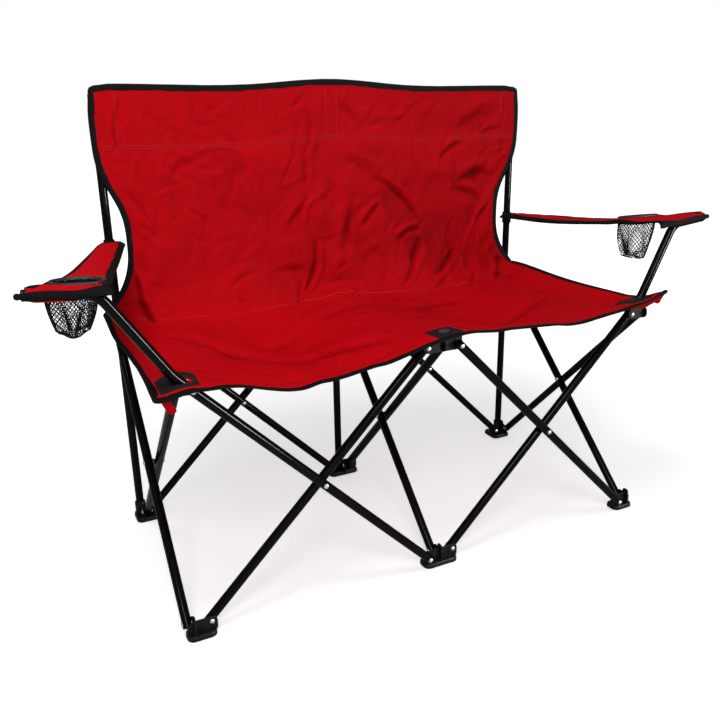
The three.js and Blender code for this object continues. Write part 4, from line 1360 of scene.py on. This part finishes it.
patch_shells = {name: patch_shell(PATCH_AT[name], arm_hole(arm), PATCH_SLOT) for name, arm in ARMS.items()}
patch_shells["centre"] = patch_shell(PATCH_AT["centre"], PATCH_AT["centre"], BUTTON_HOLE)
patches = {}
for name, shell in patch_shells.items():
    nodes = [f"{name}_seat_patch"]
    patches[name] = piece(f"{name}_patch", shell, WEBBING, "seat_front_panel", nodes)
button_at, button_up = on_sling(*map(np.array, PATCH_AT["centre"]))
button_shell = Shell().add(*turned(BUTTON, button_up, button_at))
piece("centre_patch_button", button_shell, GREY_PLASTIC, "seat_front_panel")
for name, patch in patches.items():
    squash_width(patch)


# Strap loops under the front corners, and a gusset at the right one

STRAP_WIDTH = 0.0120
STRAP_AT = {-1: -0.470, 1: 0.479}
STRAP_DROP = {-1: 0.026, 1: 0.017}
RIBBON = np.array([(-1, -0.6), (-0.96, -1), (-0.4, -1), (0.4, -1), (0.96, -1), (1, -0.6),
                   (1, 0.6), (0.96, 1), (0.4, 1), (-0.4, 1), (-0.96, 1), (-1, 0.6)])


def ribbon(path, across, width, thickness):
    """Flat strap along a path, with its width along one way and rounded edges."""
    heading, _, _ = carried(path)
    across = unit(across - heading * np.sum(heading * across, -1, keepdims=True))
    normal = np.cross(heading, across)
    width = width[:, None]
    rings = [path + across * a * width / 2 + normal * n * thickness / 2 for a, n in RIBBON]
    points, faces = ringed(np.stack(rings, 1))
    return points, faces, paired(RIBBON[None, :, 0] * width / 2, run_along(path)[:, None])


for name, side in SIDES.items():
    corner_at, _ = on_sling(np.array(STRAP_AT[side]), np.array(0.009))
    t = np.linspace(0, 1, 33)
    belly = np.sin(math.pi * t)
    apart = 0.0030 * np.sin(2 * math.pi * t) * (0.3 + belly**2)
    reach = belly**0.8
    inward = apart * 0.3 - side * 0.013 * reach
    down = -0.0016 - STRAP_DROP[side] * reach
    loop = corner_at + np.stack([inward, 0.003 * reach - apart, down], -1)
    width = STRAP_WIDTH * (1 - 0.42 * belly**8)
    shell = Shell().add(*ribbon(loop, np.array((0.85, -0.25, -0.5 * side)), width, 0.0015))
    strap = squash_width(piece(f"{name}_corner_strap", shell, RED, "seat_front_panel",
                               [f"{name}_corner_loop"]))


def corner_gusset():
    """Short wedge of cloth that hangs below the front hem at the right corner."""
    xs = np.linspace(0.375, 0.468, 24)
    upper, _ = on_sling(xs, np.full(24, 0.004))
    fall = 0.003 + 0.009 * smooth((xs - 0.375) / 0.07)
    lower = upper + np.stack([0 * xs, 0.004 + 0 * xs, -fall], -1)
    rows = np.linspace(0, 1, 6)[:, None, None]
    points = upper[None] + (lower - upper)[None] * rows + np.array((0, 0.002, -0.0012))
    points = points + np.array((0, 0.0012, 0)) * np.sin(xs * 210)[None, :, None] * rows
    flat = paired(xs[None, :], 0.02 * rows[..., 0])
    return cloth_sheet(points, grid_normals(points), flat + 2.0, BAND_CLOTH)


gusset = squash_width(piece("right_corner_gusset", corner_gusset(), RED, "seat_front_panel"))


# Armrests

ARM_REAR_Z = {-1: 0.586, 1: 0.577}
ARM_WIDTHS = {-1: (0.104, 0.054), 1: (0.118, 0.054)}  # at the bar and at the post
SLEEVE_R = TUBE_R + 0.0014
SLEEVE_TAIL = ((0.026, None), (0.018, -0.0035), (0.009, -0.0080))  # behind the bar, and above it
SLEEVE_ROWS = 16
SLEEVE_OPEN = 0.045  # length left open under the inner end for the tube
CUP_INNER, CUP_OUTER = 0.0330, 0.0400
CUP_SAG = {-1: 0.0050, 1: -0.0010}
CUP_SHIFT = {-1: -0.0025, 1: -0.0075}
ARM_TAPE = {"width": 0.011, "face": 0.0013}
POST_LOOP = ((0.0086, -0.020), (0.0100, -0.0205), (0.0104, -0.019), (0.0107, 0.0),
             (0.0104, 0.0040), (0.0100, 0.0055), (0.0086, 0.0050))  # radius and height
RING_SECTION = ((-1, -0.55), (-0.7, 0.15), (-0.25, 0.75), (0.25, 0.85),
                (0.7, 0.45), (1, -0.15), (0.9, -0.6), (0, -0.7))  # outward and up


def front_band(side, tip, elbow, bar_z, inner, outer):
    """Tape round the front of the sleeve, gathered into a knot at the outer end."""
    xs = side * np.linspace(inner - 0.0005, outer + 0.008, 52)[::side]
    slim = 1 - 0.62 * smooth((np.abs(xs) - outer + 0.004) / 0.011)
    climb = np.radians(34) * smooth((inner + 0.050 - np.abs(xs)) / 0.050)
    fan = np.radians(np.linspace(36, -36, 15))[:, None]
    turn = np.radians(90) - climb + fan * slim + 0.05 * np.sin(xs * 95)
    shape = (SLEEVE_R + 0.0015 + 0.0004 * np.sin(xs * 190)) * (1 - 0.30 * (1 - slim))
    band = np.stack([xs + 0 * turn, tip[1] - shape * np.sin(turn), bar_z(xs) + shape * np.cos(turn)], -1)
    strip = cloth_sheet(band, grid_normals(band), np.stack([turn * SLEEVE_R, xs + 0 * turn], -1), 0.0014)
    knot_at = tip + unit(tip - elbow) * 0.0060 + np.array((0, -0.0050, -0.0005))
    return strip.add(*turned(TAPE_KNOT, tip - elbow, knot_at, 14))


def post_loop(side, rear_z):
    """Band of tape that holds the armrest to its post."""
    turn = circle(28)
    rings = []
    for r, z in POST_LOOP:
        wavy = r * (1 + 0.02 * np.sin(3 * turn + z * 200))
        rings.append(np.stack([side * PITCH + wavy * np.cos(turn), POST_Y + wavy * np.sin(turn),
                               np.full(len(turn), rear_z + z)], -1))
    rings = np.array(rings)
    return Shell().add(rings, loop_faces(*rings.shape[:2]), paired(turn[None, :] * 0.01, rings[..., 2] + 3.0))


def cup_edging(cup, ring_z):
    """Stuffed ring round the cup hole."""
    turn = circle(72)
    mid_r, half_r = (CUP_INNER + CUP_OUTER) / 2, (CUP_OUTER - CUP_INNER) / 2
    rings = []
    for a, h in RING_SECTION:
        r = mid_r + a * half_r + 0.0004 * np.sin(5 * turn)
        x, y = cup[0] + r * np.cos(turn), cup[1] + r * np.sin(turn)
        rings.append(np.stack([x, y, ring_z(x, y) + 0.0022 + h * 0.0028], -1))
    rings = np.array(rings)
    flat = paired(np.arange(len(rings))[:, None] * 0.0026, turn[None, :] * mid_r)
    return Shell().add(rings, loop_faces(*rings.shape[:2])[:, ::-1], flat)


def armrest(name, arm):
    """Cloth, edge tape, front band, post loop, cup ring and net of one armrest."""
    side, tip, elbow = arm["side"], arm["tip"], arm["elbow"]
    bar_y = tip[1]
    length = POST_Y - TUBE_R - 0.0012 - bar_y
    rear_z = ARM_REAR_Z[side]
    wide, narrow = ARM_WIDTHS[side]
    outer = abs(tip[0]) - 0.003
    cup = middle(f"{name}_cup_ring") + np.array((CUP_SHIFT[side], 0, 0))
    cup_v = (cup[1] - bar_y) / length
    body = f"{name}_armrest"

    def bar_z(x):
        return elbow[2] + (tip[2] - elbow[2]) / (tip[0] - elbow[0]) * (x - elbow[0])

    def middle_x(v):
        return side * (outer - wide / 2 + (PITCH - outer + wide / 2) * v)

    def half_width(v):
        belly = 0.004 * np.sin(math.pi * np.clip(v, 0, 1))
        return (wide + (narrow - wide) * np.clip(v, 0, 1)) / 2 - belly

    def loose(x, v):
        """Height of the cloth before the cup holder weighs it down."""
        u = (x - middle_x(v)) / (2 * half_width(v)) * side
        hang = 0.007 * np.sin(math.pi * v) ** 1.5
        lip = 0.003 if side < 0 else 0.001
        curl = (0.003 + 0.004 * v) * np.abs(2 * u) ** 4 + lip * smooth(2.6 * u - 0.3)
        ripple = 0.0012 * np.sin(9 * v + 3.4 * u) * smooth(v / 0.1) * smooth((1 - v) / 0.1)
        front = bar_z(x) + SLEEVE_R
        return front + (rear_z + 0.002 - front) * v - hang - curl * smooth(v / 0.15) + ripple

    cup_z = loose(cup[0], cup_v) - CUP_SAG[side]
    tilt_x = (loose(cup[0] + 0.03, cup_v) - loose(cup[0] - 0.03, cup_v)) / 0.06
    tilt_y = (loose(cup[0], cup_v + 0.03 / length) - loose(cup[0], cup_v - 0.03 / length)) / 0.06

    def ring_z(x, y):
        """Height of the flat ring that holds the cup net."""
        return cup_z + tilt_x * (x - cup[0]) + tilt_y * (y - cup[1])

    def height(x, v):
        y = bar_y + v * length
        near = 1 - smooth((np.hypot(x - cup[0], y - cup[1]) - 0.041) / 0.024)
        free = loose(x, v)
        return free + (ring_z(x, y) - free) * near * smooth(v / 0.05)

    columns, rows = 40, 84
    u = np.linspace(0, 1, columns + 1)[None, :]
    v = np.linspace(0, 1, rows + 1)[:, None]
    x = middle_x(v) + (u - 0.5) * 2 * half_width(v)
    top = np.stack([x, bar_y + v * length + 0 * u, height(x, v)], -1)
    bar_x = x[0]
    inner = np.abs(bar_x).min()
    around = []
    for back, up in SLEEVE_TAIL:
        z = height(bar_x, back / length) - 0.0016 if up is None else bar_z(bar_x) + up
        around.append(np.stack([bar_x, np.full(columns + 1, bar_y + back), z], -1))
    gather = 0.22 * smooth((np.abs(bar_x) - outer + 0.010) / 0.010)
    for angle in np.radians(np.linspace(180, 12, SLEEVE_ROWS)):
        r = SLEEVE_R * (1 - gather * smooth(angle - 0.5))
        around.append(np.stack([bar_x, bar_y - r * math.sin(angle), bar_z(bar_x) + r * math.cos(angle)], -1))
    points = np.concatenate([around, top])
    normals = grid_normals(points)
    flat = paired(points[..., 0] - tip[0], run_along(points[:, columns // 2])[:, None] + 4.0)
    centres = (points[:-1, :-1] + points[1:, 1:]) / 2
    row = np.arange(len(points) - 1)[:, None]
    open_row = len(SLEEVE_TAIL) + 7
    from_cup = np.hypot(centres[..., 0] - cup[0], centres[..., 1] - cup[1])
    keep = (from_cup > CUP_OUTER - 0.0040) | (row < len(around))
    keep &= (np.abs(centres[..., 0]) - inner > SLEEVE_OPEN) | (row >= open_row)
    first, last = (len(around), open_row) if side < 0 else (open_row, len(around))
    left = (points[first:, 0], unit(points[first:, 1] - points[first:, 0]), normals[first:, 0])
    right = (points[last:, -1], unit(points[last:, -2] - points[last:, -1]), normals[last:, -1])
    end = (points[-1, 1:-1], unit(points[-2, 1:-1] - points[-1, 1:-1]), normals[-1, 1:-1])
    tape = Shell().add(*tape_strip(*joined_edge(left, end, flipped(right)), **ARM_TAPE))

    def arm_piece(part, shell, material, nodes=(), sharp=SHARP):
        made = piece(f"{name}_{part}", shell, material, body, nodes, sharp)
        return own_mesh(made)

    shell = cloth_sheet(points, normals, flat, keep=keep)
    cloth = arm_piece("arm_cloth", shell, RED, [f"{name}_armrest"], SHARP_CLOTH)
    edging = arm_piece("arm_tape", tape, TAPE, (), SHARP_TAPE)
    band = front_band(side, tip, elbow, bar_z, inner, outer)
    front = arm_piece("arm_front_tape", band, TAPE, (), SHARP_CLOTH)
    loop = arm_piece("arm_post_loop", post_loop(side, rear_z), TAPE)
    ring_shell = cup_edging(cup, ring_z)
    ring = arm_piece("cup_edging", ring_shell, RING_TAPE, [f"{name}_cup_ring"], SHARP_RING)
    arm_piece("cup_bag", net_bag(cup, ring_z, side), NET, [f"{name}_cup_net"], SHARP_NET)


NET_STRANDS = {-1: 46, 1: 38}
NET_CORD_R = 0.00066
NET_DEPTH = 0.070  # of the left bag; the right one hangs a little deeper
RIGHT_NET = 1.12
NET_R = 0.0357
HEM_H = 0.0120
NET_LEAN = {-1: -0.0110, 1: 0.0010}  # sideways, by the foot of the bag
NET_HEM = ((-0.0006, -HEM_H), (0.0006, -HEM_H), (0.0012, -0.0060), (0.0008, -0.0005), (-0.0006, -0.0005),
           (-0.0002, -0.0060))  # from the bag's wall, and below the ring


def net_spot(turn, drop):
    """Point of the bag's wall at an angle and a share of its depth, before it is placed."""
    radius = NET_R + 0.0015 * np.sin(math.pi * drop) - 0.0135 * drop**1.8
    crumpled = 0.11 * np.sin(3 * turn + 0.8) + 0.07 * np.sin(5 * turn + 2.0 + drop)
    crumpled = crumpled + 0.05 * np.sin(8 * turn + 3 * drop)
    radius = radius * (1 + crumpled * drop)
    z = -NET_DEPTH * drop * (1 - 0.05 * np.sin(2 * turn + 1))
    return np.stack([radius * np.cos(turn), radius * np.sin(turn), z], -1)


def net_floor(spacing=0.0046):
    """Straight cords that cross under the bag, each from one side of its foot to the other."""
    lines = []
    for angle in (0.6, 0.6 + math.pi / 2):
        way = np.array((math.cos(angle), math.sin(angle)))
        for shift in np.arange(-5, 6) * spacing:
            along = np.linspace(-0.034, 0.034, 69)
            spot = way * along[:, None] + np.array((-way[1], way[0])) * shift
            rim = net_spot(np.arctan2(spot[:, 1], spot[:, 0]), 1.0)
            share = np.linalg.norm(spot, axis=1) / np.linalg.norm(rim[:, :2], axis=1)
            kept = share < 1
            if kept.sum() > 4:
                z = rim[:, 2] - 0.004 * (1 - share**2)
                lines.append(np.c_[spot, z][kept])
    return lines


def net_bag(cup, ring_z, side):
    """Two sets of cords that cross as diamonds round a sagging bag, and a hem under the ring."""
    shell = Shell()
    lean = NET_LEAN[side]
    drop = np.linspace(HEM_H * 0.8 / NET_DEPTH, 1.0, 30)
    paths = []
    for way in (-1, 1):
        for start in circle(NET_STRANDS[side]):
            turn = start + way * 1.45 * drop
            turn = turn + 0.16 * smooth(drop * 1.4) * np.sin(4 * turn + 1 + 2 * drop)
            out = np.stack([np.cos(turn), np.sin(turn), 0 * turn], -1)
            paths.append(net_spot(turn, drop) + out * way * 0.0002)
    round_foot = np.linspace(0, 2 * math.pi, 61)
    paths += [net_spot(round_foot, 1.0), *net_floor()]
    section = circle(4)[:, None]
    for path in paths:
        share = np.clip(-path[:, 2] / NET_DEPTH, 0, 1)
        path = path * np.array((1, 1, RIGHT_NET if side > 0 else 1)) + cup * np.array((1, 1, 0))
        path[:, 2] += ring_z(path[:, 0], path[:, 1]) * (1 - share) + ring_z(cup[0], cup[1]) * share
        path[:, 0] += lean * smooth(share / 0.3) + 0.5 * lean * share
        _, one, two = carried(path)
        rings = path[:, None] + NET_CORD_R * (one[:, None] * np.cos(section) + two[:, None] * np.sin(section))
        shell.add(*ringed(rings))
    turn = circle(48)
    hem = []
    for r, h in NET_HEM:
        x, y = cup[0] + (NET_R + r) * np.cos(turn), cup[1] + (NET_R + r) * np.sin(turn)
        hem.append(np.stack([x + lean * smooth(-h / NET_DEPTH / 0.3), y, ring_z(x, y) + h], -1))
    return shell.add(np.array(hem), loop_faces(len(hem), len(turn)))


for name, arm in ARMS.items():
    armrest(name, arm)


# Floor, light and camera


def white_floor():
    """Pale floor that shines white to the camera, less so near the chair, where its shadow stays."""
    finish = Finish("studio_floor", {"Roughness": 0.9, "Specular IOR Level": 0.1})
    spot = finish.place()
    finish.tinted(finish.noise(spot, 3.0), (0.80, 0.80, 0.80), (0.82, 0.82, 0.82))
    rays = ("Is Camera Ray", "Is Transmission Ray")
    path = [finish.node("ShaderNodeLightPath", None, None, ray) for ray in rays]
    away = finish.node("ShaderNodeVectorMath", {"operation": "LENGTH"}, {0: spot}, "Value")
    inputs = {"Value": away, "From Min": 0.6, "From Max": 2.2, "To Min": 0.55, "To Max": 1.0}
    strength = finish.node("ShaderNodeMapRange", {"clamp": True}, inputs)
    glow = finish.node("ShaderNodeEmission", None, {"Strength": (path[0] + path[1]) * strength})
    both = finish.node("ShaderNodeAddShader", None, {0: Wire(finish, finish.shader.outputs[0]), 1: glow})
    finish.feed(finish.out.inputs["Surface"], both)
    return finish.material


floor_mesh = bpy.data.meshes.new("studio_floor")
floor_mesh.from_pydata([(-9, -9, 0), (9, -9, 0), (9, 14, 0), (-9, 14, 0)], [], [(0, 1, 2, 3)])
floor_mesh.materials.append(white_floor())
floor = new_object("studio_floor", floor_mesh)
floor.location.z = -0.0003

world = bpy.data.worlds.new("studio")
bpy.context.scene.world = world
world.use_nodes = True
tree = world.node_tree
tree.nodes.clear()
output = tree.nodes.new("ShaderNodeOutputWorld")
sky, ground = tree.nodes.new("ShaderNodeBackground"), tree.nodes.new("ShaderNodeBackground")
sky.inputs["Strength"].default_value = 0.30
ground.inputs["Strength"].default_value = 1.0
sky.inputs["Color"].default_value = ground.inputs["Color"].default_value = (1, 1, 1, 1)
seen = tree.nodes.new("ShaderNodeLightPath")
pick = tree.nodes.new("ShaderNodeMixShader")
tree.links.new(seen.outputs["Is Camera Ray"], pick.inputs[0])
tree.links.new(sky.outputs[0], pick.inputs[1])
tree.links.new(ground.outputs[0], pick.inputs[2])
tree.links.new(pick.outputs[0], output.inputs["Surface"])


def softbox(name, at, towards, size, watts, on_cloth=True):
    """Rectangular lamp; one that is not on the cloth shows only as a reflection."""
    light = bpy.data.lights.new(name, "AREA")
    light.shape = "RECTANGLE"
    light.size, light.size_y = size
    light.energy = watts
    obj = new_object(name, light)
    obj.location = at
    obj.visible_diffuse = on_cloth
    obj.rotation_euler = (Vector(towards) - Vector(at)).to_track_quat("-Z", "Y").to_euler()


softbox("key", (-1.2, -2.2, 2.3), (0, 0, 0.5), (0.9, 0.9), 33)
softbox("front", (-1.1, -2.5, 0.85), (-0.1, 0, 0.5), (1.2, 1.0), 4)
softbox("overhead", (-0.75, -0.5, 2.2), (-0.40, -0.10, 0.4), (1.0, 0.35), 15.5)
softbox("right_strip", (1.8, -2.35, 1.0), (0, 0, 0.4), (0.50, 1.4), 165, False)

CAMERA_AT = Vector((-0.671, -1.259, 0.801))
YAW, PITCH_DOWN, ROLL = math.radians(26.14), math.radians(17.81), math.radians(-1.0)
FOCAL_PIXELS = 746
IMAGE_PIXELS = 720
SENSOR_MM = 36
flat_share = math.cos(PITCH_DOWN)
ahead = Vector((math.sin(YAW) * flat_share, math.cos(YAW) * flat_share, -math.sin(PITCH_DOWN)))
level = Vector((math.cos(YAW), -math.sin(YAW), 0))
above = level.cross(ahead)
right = level * math.cos(ROLL) + above * math.sin(ROLL)
above = above * math.cos(ROLL) - level * math.sin(ROLL)
lens = bpy.data.cameras.new("camera")
lens.sensor_width = SENSOR_MM
lens.lens = FOCAL_PIXELS / IMAGE_PIXELS * SENSOR_MM
lens.clip_start = 0.05
camera = new_object("camera", lens)
turn = Matrix((right, above, -ahead)).transposed().to_4x4()
camera.matrix_world = Matrix.Translation(CAMERA_AT) @ turn
bpy.context.scene.camera = camera
bpy.context.scene.view_settings.view_transform = "Standard"

bpy.context.view_layer.update()
